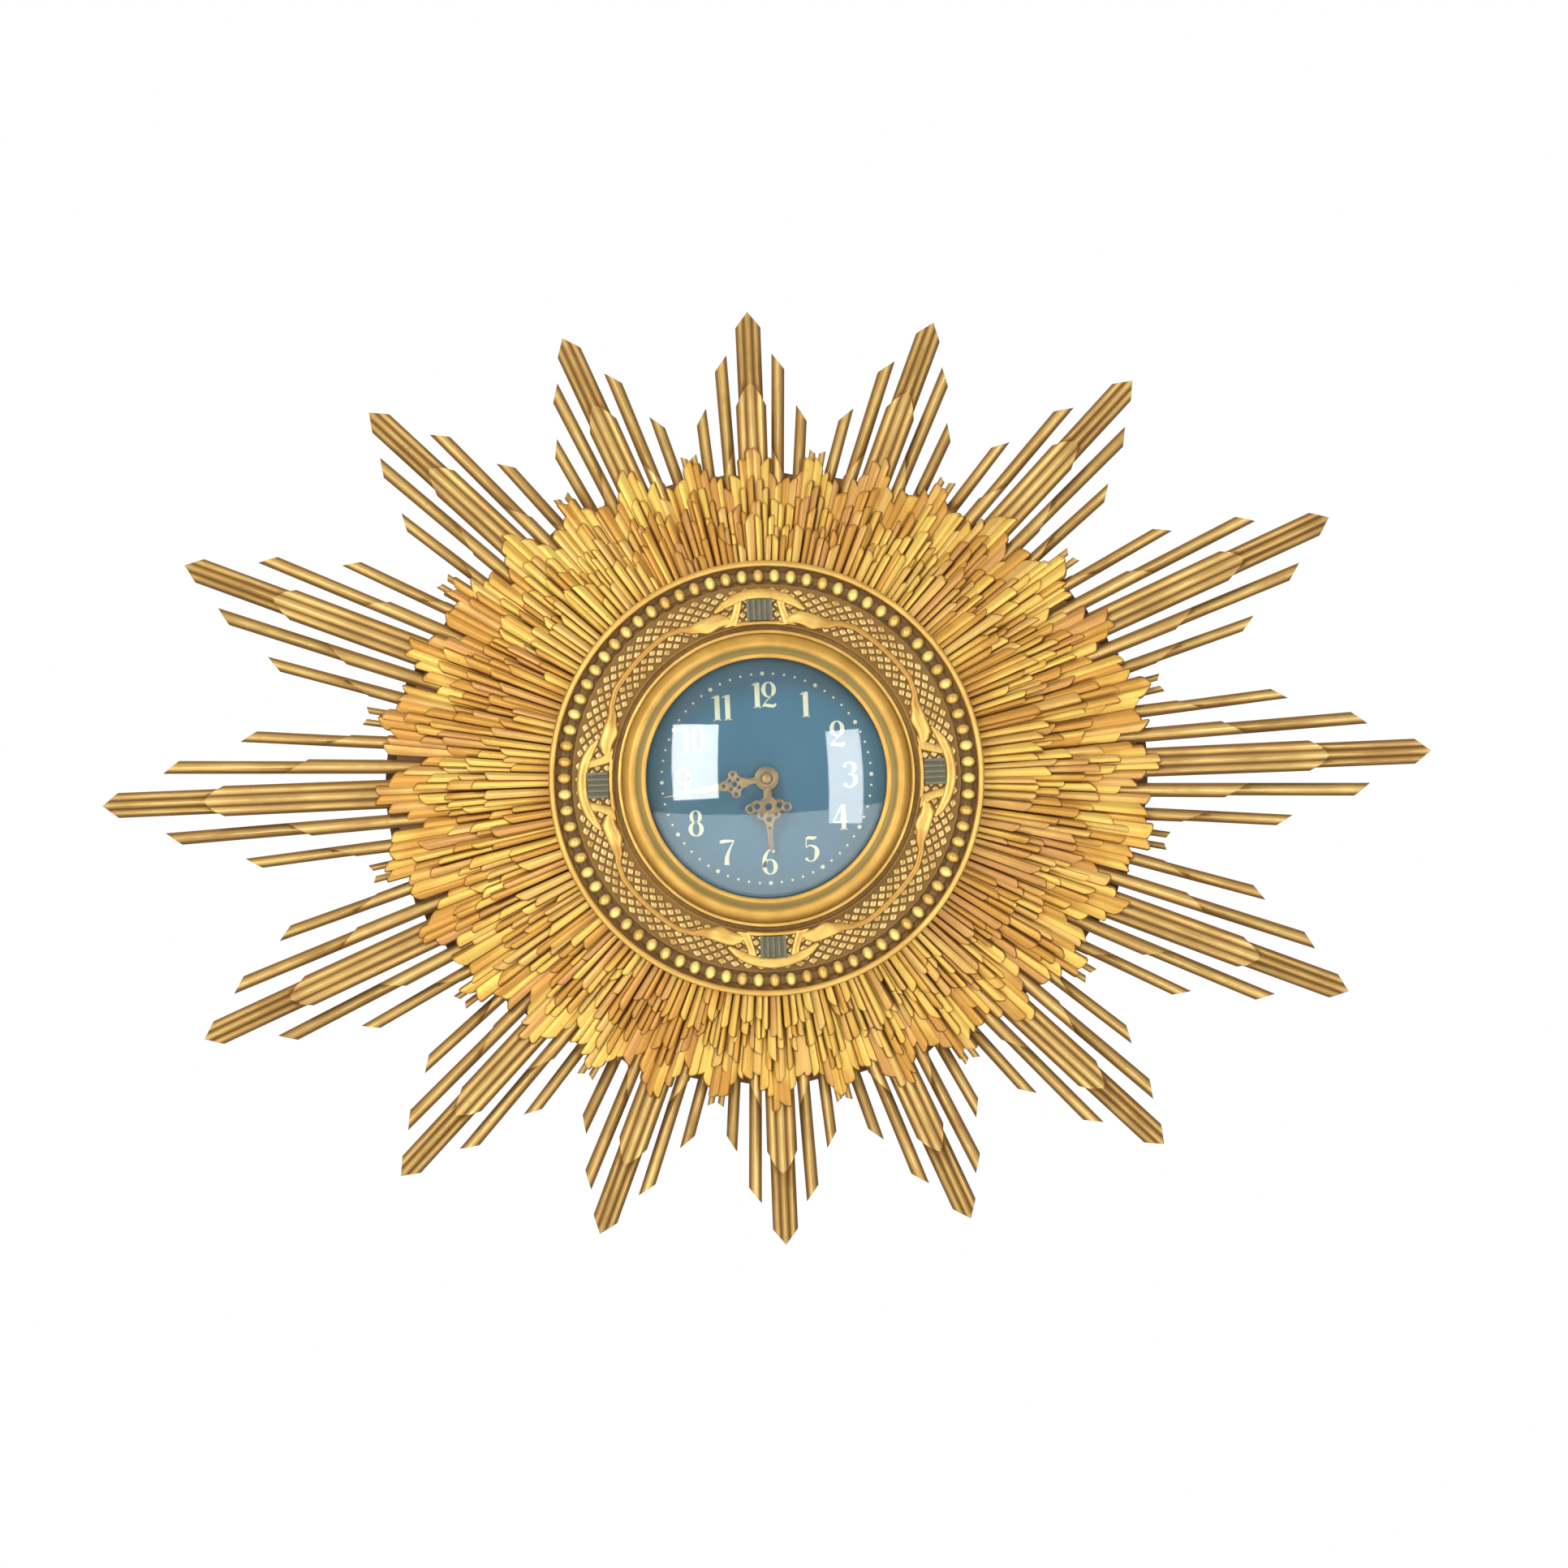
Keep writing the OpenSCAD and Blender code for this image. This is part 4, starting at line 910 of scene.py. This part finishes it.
# Train. Moulded acetal wheels, from the rotor through the intermediate, seconds and third
# wheels to the hands. Their teeth run together, so they stay as cut and only take a finish.
acetal = moulded("acetal", paint(232, 230, 222), paint(214, 212, 204), 0.34, 700)
rotor_grey = moulded("rotor_magnet", paint(92, 92, 96), paint(70, 70, 74), 0.4)
for name in ("rotor", "intermediate_wheel", "seconds_wheel", "third_wheel",
             "minute_wheel", "motion_wheel", "hour_wheel"):
    for place in nodes[name].material_slots:
        place.material = rotor_grey if name == "rotor" else acetal


# Dial. A sheet-metal disc sprayed slate blue and stoved, with cream figures of a fat and
# fine old face and a ring of minute dots, all printed thick enough to feel.
dial_top, figure_row, dot_row = 37.0, 46.9, 58.8
ink_thick, figure_size, dot_r, hour_dot = 0.14, 1.07, 0.68, 1.7
dial_blue, t = new_finish("dial_blue", Specular_IOR_Level=0.2)
spot = t.place()
reach = t.polar()[0]
cloud = t.noise(spot, 26, 3)
grain = t.noise(spot, 900, 2, 0.7)
colour = (cloud * 1.2 - 0.1).step(0, 1).tint(paint(40, 107, 135), paint(50, 117, 146))
colour = (reach.step(0.046, 0.07) * 0.5).tint(colour, paint(70, 122, 142))
colour = (grain.step(0.62, 0.75) * 0.2).tint(colour, paint(150, 180, 190))
t.lay(Base_Color=colour, Roughness=grain * 0.15 + 0.4, Height=(grain, 0.08, 0.0002))
piece = dressed("dial_plate", 0.2, dial_blue)


def smooth_line(points):
    """Points with a width each, filled in along an even curve through them."""
    steps = 5
    line = []
    for k in range(len(points) - 1):
        a, b, c, d = (points[max(0, min(len(points) - 1, k + j))] for j in (-1, 0, 1, 2))
        for s in range(steps):
            u = s / steps
            line.append([0.5 * (2 * b[i] + (c[i] - a[i]) * u
                                + (2 * a[i] - 5 * b[i] + 4 * c[i] - d[i]) * u * u
                                + (3 * b[i] - a[i] - 3 * c[i] + d[i]) * u ** 3)
                         for i in range(3)])
    return line + [list(points[-1])]


def penned(points, loop=False):
    """A stroke of paint with its own thick and thin, laid as a low bar."""
    line = [list(p) for p in points] if loop else smooth_line(points)
    rows = []
    for k, (x, y, w) in enumerate(line):
        before = line[k - 1] if loop or k else line[k]
        after = line[(k + 1) % len(line)] if loop or k < len(line) - 1 else line[k]
        dx, dy = after[0] - before[0], after[1] - before[1]
        size = hypot(dx, dy) or 1
        side = (-dy / size, dx / size)
        half, top = w / 2, max(0.05, w / 2 - 0.08)
        rows.append([(x + side[0] * o, y + side[1] * o, v) for o, v in
                     ((-half, 0), (-top, ink_thick), (top, ink_thick), (half, 0))])
    return laid("stroke", rows, loop)


def bowl(x, y, rx, ry, fat):
    """A closed round with thick sides and a thin top and bottom."""
    fine = 0.55
    return penned([(x + rx * cos(a), y + ry * sin(a),
                    fine + (fat - fine) * abs(cos(a)) ** 1.5)
                   for a in (2 * pi * k / 32 for k in range(32))], loop=True)


def foot(x):
    """The fine line that an upright stands on."""
    return penned([(x - 2.1, -6.5, 0.45), (x, -6.5, 0.5), (x + 2.1, -6.5, 0.45)])


def one(x=0.0):
    return [penned([(x + 0.2, 6.5, 2.7), (x + 0.2, 0, 2.7), (x + 0.2, -6.6, 2.7)]),
            penned([(x - 0.6, 6.4, 0.9), (x - 1.5, 5.6, 0.8), (x - 2.5, 5.2, 0.5)]),
            foot(x + 0.2)]


def two(x=0.0):
    return [bowl(x, 2.6, 2.75, 3.8, 2.3),
            penned([(x + 1.6, -0.6, 0.9), (x - 1.0, -3.0, 0.55), (x - 3.2, -5.6, 0.6)]),
            penned([(x - 3.5, -6.2, 0.7), (x - 1.9, -5.5, 1.5), (x + 0.6, -6.0, 1.7),
                    (x + 2.6, -6.0, 1.5), (x + 3.6, -4.8, 0.6)])]


def three():
    return [penned([(-2.7, 4.2, 1.8), (-2.0, 6.0, 0.8), (0.2, 6.5, 0.6), (2.3, 4.8, 1.9),
                    (2.3, 2.6, 1.9), (0.6, 0.6, 0.6), (-0.9, 0.4, 0.5)]),
            penned([(0.0, 0.5, 0.5), (2.4, -0.9, 1.9), (2.7, -3.4, 2.3), (0.7, -6.1, 0.8),
                    (-1.8, -6.2, 0.7), (-3.0, -4.4, 1.9)])]


def four():
    return [penned([(1.5, 6.6, 2.4), (1.5, 0, 2.4), (1.5, -6.6, 2.4)]),
            penned([(0.8, 6.5, 0.8), (-1.4, 2.2, 0.6), (-3.8, -2.2, 0.6)]),
            penned([(-4.0, -2.5, 0.6), (0, -2.5, 0.6), (3.9, -2.5, 0.6)]), foot(1.5)]


def five():
    return [penned([(-2.3, 5.6, 1.2), (-0.6, 5.9, 1.7), (1.4, 5.6, 1.6), (3.0, 6.5, 0.5)]),
            penned([(-2.5, 6.0, 0.5), (-2.6, 3.4, 0.5), (-2.7, 0.7, 0.5)]),
            penned([(-2.7, 0.8, 0.5), (-0.6, 1.9, 0.7), (2.3, 0.5, 1.8), (2.9, -2.4, 2.5),
                    (1.4, -5.7, 1.1), (-1.2, -6.4, 0.6), (-3.0, -4.7, 1.9)])]


def six(flip=1):
    return [bowl(0, -2.6 * flip, 2.9, 3.8, 2.2),
            penned([(-2.9 * flip, -2.8 * flip, 2.2), (-2.7 * flip, 1.6 * flip, 2.2),
                    (-1.3 * flip, 5.0 * flip, 1.3), (0.6 * flip, 6.4 * flip, 0.7),
                    (2.5 * flip, 5.0 * flip, 1.8)])]


def seven():
    return [penned([(-3.5, 4.8, 1.0), (-3.0, 5.6, 1.9), (-0.5, 5.9, 1.7), (3.6, 5.9, 0.9)]),
            penned([(3.4, 5.7, 0.6), (1.0, 1.4, 1.2), (-0.4, -2.6, 2.2),
                    (-0.7, -6.6, 2.7)])]


def eight():
    return [bowl(0, 3.3, 2.3, 3.1, 1.9), bowl(0, -3.2, 2.9, 3.5, 2.3)]


# Twelve comes first, at the top of the dial.
figures = [lambda: one(-3.3) + two(3.0), one, two, three, four, five, six, seven, eight,
           lambda: six(-1), lambda: one(-3.6) + [bowl(3.0, 0, 2.7, 6.3, 2.3)],
           lambda: one(-2.6) + one(2.9)]
strokes = []


def on_dial(stroke, row, minute, size):
    """Sets a stroke on its row, at its minute."""
    angle = radians(6 * minute)
    stroke.data.transform(Matrix.Translation((row * sin(angle), row * cos(angle), dial_top))
                          @ Matrix.Diagonal((size, size, 1, 1)))
    strokes.append(stroke)


for hour, figure in enumerate(figures):
    for stroke in figure():
        on_dial(stroke, figure_row, 5 * hour, figure_size)
dot = started(bpy.ops.mesh.primitive_cylinder_add, vertices=12, radius=dot_r,
              depth=ink_thick, location=(0, 0, ink_thick / 2))
cut(dot, "faces", lambda p: all(q.z > ink_thick - 0.01 for q in p),
    bpy.ops.mesh.inset, thickness=0.1, depth=0.04)
for minute in range(60):
    on_dial(copied(dot), dot_row, minute, 1.0 if minute % 5 else hour_dot)
bpy.data.objects.remove(dot)
printing = joined(strokes, "dial_figures")
cream, t = new_finish("cream_print")
spot = t.place()
grain = t.noise(spot, 700, 2, 0.7)
wear = t.noise(spot, 180, 3).step(0.5, 0.8)
colour = grain.tint(paint(255, 252, 214), paint(250, 244, 200))
t.lay(Base_Color=(wear * 0.15).tint(colour, paint(196, 204, 178)),
      Roughness=grain * 0.2 + 0.38, Height=(grain, 0.15, 0.0001))
printing.data.materials.append(cream)
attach(printing, "clock")


# Hands. Pierced brass, stamped and filed, the leaf worn and gone coppery; the hour hand
# is pressed on its tube, the minute hand on its arbor, under a small domed cap.
def hand_metal(name, bright, mid, dark):
    """Gilt brass rubbed down by handling: patches, specks of tarnish, and painted shade on
    the steep edges.
    """
    finish, t = new_finish(name)
    spot = t.place()
    patch = t.noise(spot, 170, 3)
    speck = t.noise(spot, 1200, 2, 0.7)
    steep = (1 + t.wallward()).step(0.2, 0.9)
    colour = (patch * 1.3 - 0.2).step(0, 1).tint(mid, bright)
    colour = (speck.step(0.5, 0.72) * 0.4).tint(colour, paint(134, 102, 62))
    # Painted shade on the steep edges.
    colour = (steep * 0.8).tint(colour, dark)
    t.lay(Base_Color=colour, Metallic=0.4 - steep * 0.2,
          Roughness=speck * 0.2 + patch * 0.15 + 0.22, Height=(speck, 0.2, 0.0002))
    return finish


minute_brass = hand_metal("minute_hand_brass", paint(160, 132, 80), paint(122, 96, 54),
                          paint(66, 47, 24))
hour_brass = hand_metal("hour_hand_brass", paint(142, 115, 66), paint(106, 82, 44),
                        paint(58, 41, 20))
cap_brass = hand_metal("cap_brass", paint(168, 140, 84), paint(134, 108, 62),
                       paint(94, 70, 38))
for name, edge, finish in (("minute_hand", 0.16, minute_brass),
                           ("hour_hand", 0.16, hour_brass), ("hand_cap", 0.2, cap_brass)):
    piece = dressed(name, edge, finish, corner=35)


# Glass and its seat. A domed glass two millimetres thick, drawn against the lip of the
# bezel by an olive seat ring, and held by the spring of that ring alone.
seat_olive = moulded("seat_olive", paint(110, 100, 62), paint(88, 80, 48), 0.5, 600)
piece = dressed("glass_seat", 0.2, seat_olive, corner=40)

clear, t = new_finish("dome_glass")
smear = t.noise(t.place(), 60, 3)
facing = t.node("LayerWeight", None, {"Blend": 0.5}, out=1)
# Seen square on the glass mirrors 3 percent, and near its rim far more.
glint = facing ** 5 * 0.7 + 0.032
through = t.node("BsdfTransparent", None, {"Color": (0.965, 0.98, 0.975, 1)})
mirror = t.node("BsdfAnisotropic", None, {"Color": (1, 1, 1, 1), "Roughness": 0.03})
t.end_in(t.node("MixShader", None,
                {0: glint * (0.9 + smear * 0.2), 1: through, 2: mirror}))
piece = dressed("glass", 0, clear, flat=0.02)


# Bezel. Spun brass, gilded, pushed into the ring's rebate: a broad rounded outer roll, an
# inner slope painted olive as a dark reflection in the gold, and a thin bright lip at the
# glass.
slope_from, slope_to, foot_top = 69.3, 75.2, 49.0
gilt_bezel, t = new_finish("gilt_bezel", Specular_IOR_Level=0.25)
spot = t.place()
reach, angle, y = t.polar()
reach = reach * 1000
rings = t.noise(t.join(reach * 1.1, angle * 2.2, 0.0), 1.0, 3)
patch = t.noise(spot, 60, 4, 0.6)
speck = t.noise(spot, 900, 2, 0.7)
colour = (patch * 0.9 + rings * 0.4 - 0.2).step(0.1, 0.9).tint(
    paint(176, 132, 56), paint(214, 170, 84))
# Painted reflection: the inner slope is painted olive for the dark surround the gold mirrors
# there.
slope_reflection = (reach + (patch - 0.5) * 1.2).step(slope_from, slope_from + 0.9) * (
    1 - (reach + (patch - 0.5) * 1.5).step(slope_to - 3, slope_to))
colour = (slope_reflection * 0.85).tint(colour, paint(126, 110, 56))
colour = (speck.step(0.62, 0.76) * patch.step(0.45, 0.7) * 0.5).tint(
    colour, paint(142, 94, 44))
# Painted shade at the foot of the bezel, where it meets the ring.
low = (y * 1000 + foot_top).step(0, 5)
colour = (low * 0.55).tint(colour, paint(140, 92, 40))
t.lay(Base_Color=colour, Metallic=0.36 - slope_reflection * 0.2,
      Roughness=rings * 0.14 + speck * 0.1 + 0.34, Height=(rings + speck * 0.3, 0.15, 0.0003))
piece = dressed("bezel", 0.25, gilt_bezel, corner=40, flat=0.02)


# Studio. A plain pale floor well below, a white surround, one broad lamp high on the
# left, a weaker one on the right, and three lit cards that only the domed glass and the
# gold show: a tall one to either side, and a wide low one for the pale lower half.
def lamp(name, place, across, power):
    """A soft square lamp that points at the dial."""
    light = bpy.data.lights.new(name, "AREA")
    light.size, light.energy = across, power
    stand = bpy.data.objects.new(name, light)
    stand.location = place
    stand.rotation_mode = "QUATERNION"
    stand.rotation_quaternion = (-Vector(place)).to_track_quat("-Z", "Y")
    stand.visible_glossy = False
    bpy.context.scene.collection.objects.link(stand)


lamp("lamp_left", (-1.2, -1.6, 2.15), 0.8, 52)
lamp("lamp_right", (1.9, -2.0, 0.5), 1.2, 8)


def soft_card(name, angles, climbs, bright):
    """A lit card that only mirrors show, between two angles across and two upwards."""
    far = 2.0
    middle = radians(sum(angles) / 2)
    up = radians(sum(climbs) / 2)
    wide = far * radians(angles[1] - angles[0])
    high = far * radians(climbs[1] - climbs[0])
    place = Vector((sin(middle) * cos(up), -cos(middle) * cos(up), sin(up))) * far
    card = started(bpy.ops.mesh.primitive_plane_add, size=1)
    card.name = name
    card.data.transform(Matrix.Diagonal((wide, high, 1, 1)))
    card.data.transform((-place).to_track_quat("-Z", "Y").to_matrix().to_4x4())
    card.data.transform(Matrix.Translation(place))
    glow, t = new_finish(name)
    t.end_in(t.node("Emission", None, {"Strength": bright}))
    card.data.materials.append(glow)
    card.visible_camera = card.visible_diffuse = card.visible_shadow = False
    card.visible_transmission = False


soft_card("card_left", (-34, -17.3), (-6.4, 20), 13.5)
soft_card("card_right", (22, 34.5), (-17, 16), 10.5)
soft_card("card_low", (-80, 80), (-92.5, -6.5), 3.4)

floor_r, floor_drop = 1.4, 0.75
floor = started(bpy.ops.mesh.primitive_circle_add, vertices=96, radius=floor_r,
                fill_type="NGON")
floor.location.z = -floor_drop
floor.name = "floor"
pale, t = new_finish("pale_floor")
cloud = t.noise(t.place(), 3, 2)
t.lay(Base_Color=cloud.tint(paint(244, 243, 240), paint(240, 239, 236)),
      Roughness=cloud * 0.1 + 0.8)
floor.data.materials.append(pale)
floor.visible_glossy = False

world = bpy.data.worlds.new("white_room")
bpy.context.scene.world = world
world.use_nodes = True
t = Tone(world.node_tree)
seen = [t.node("LightPath", out=ray)
        for ray in ("Is Camera Ray", "Is Glossy Ray", "Is Transmission Ray")]
# The eye, gold and glass see plain white; everything matt is lit by less.
room_light = 0.58
shown = t.maths("MINIMUM", sum(seen), 1.0)
background = world.node_tree.nodes["Background"]
background.inputs["Color"].default_value = (1, 1, 1, 1)
strength = shown * (1 - room_light) + room_light
world.node_tree.links.new(strength.socket, background.inputs["Strength"])
bpy.context.scene.view_settings.view_transform = "Standard"
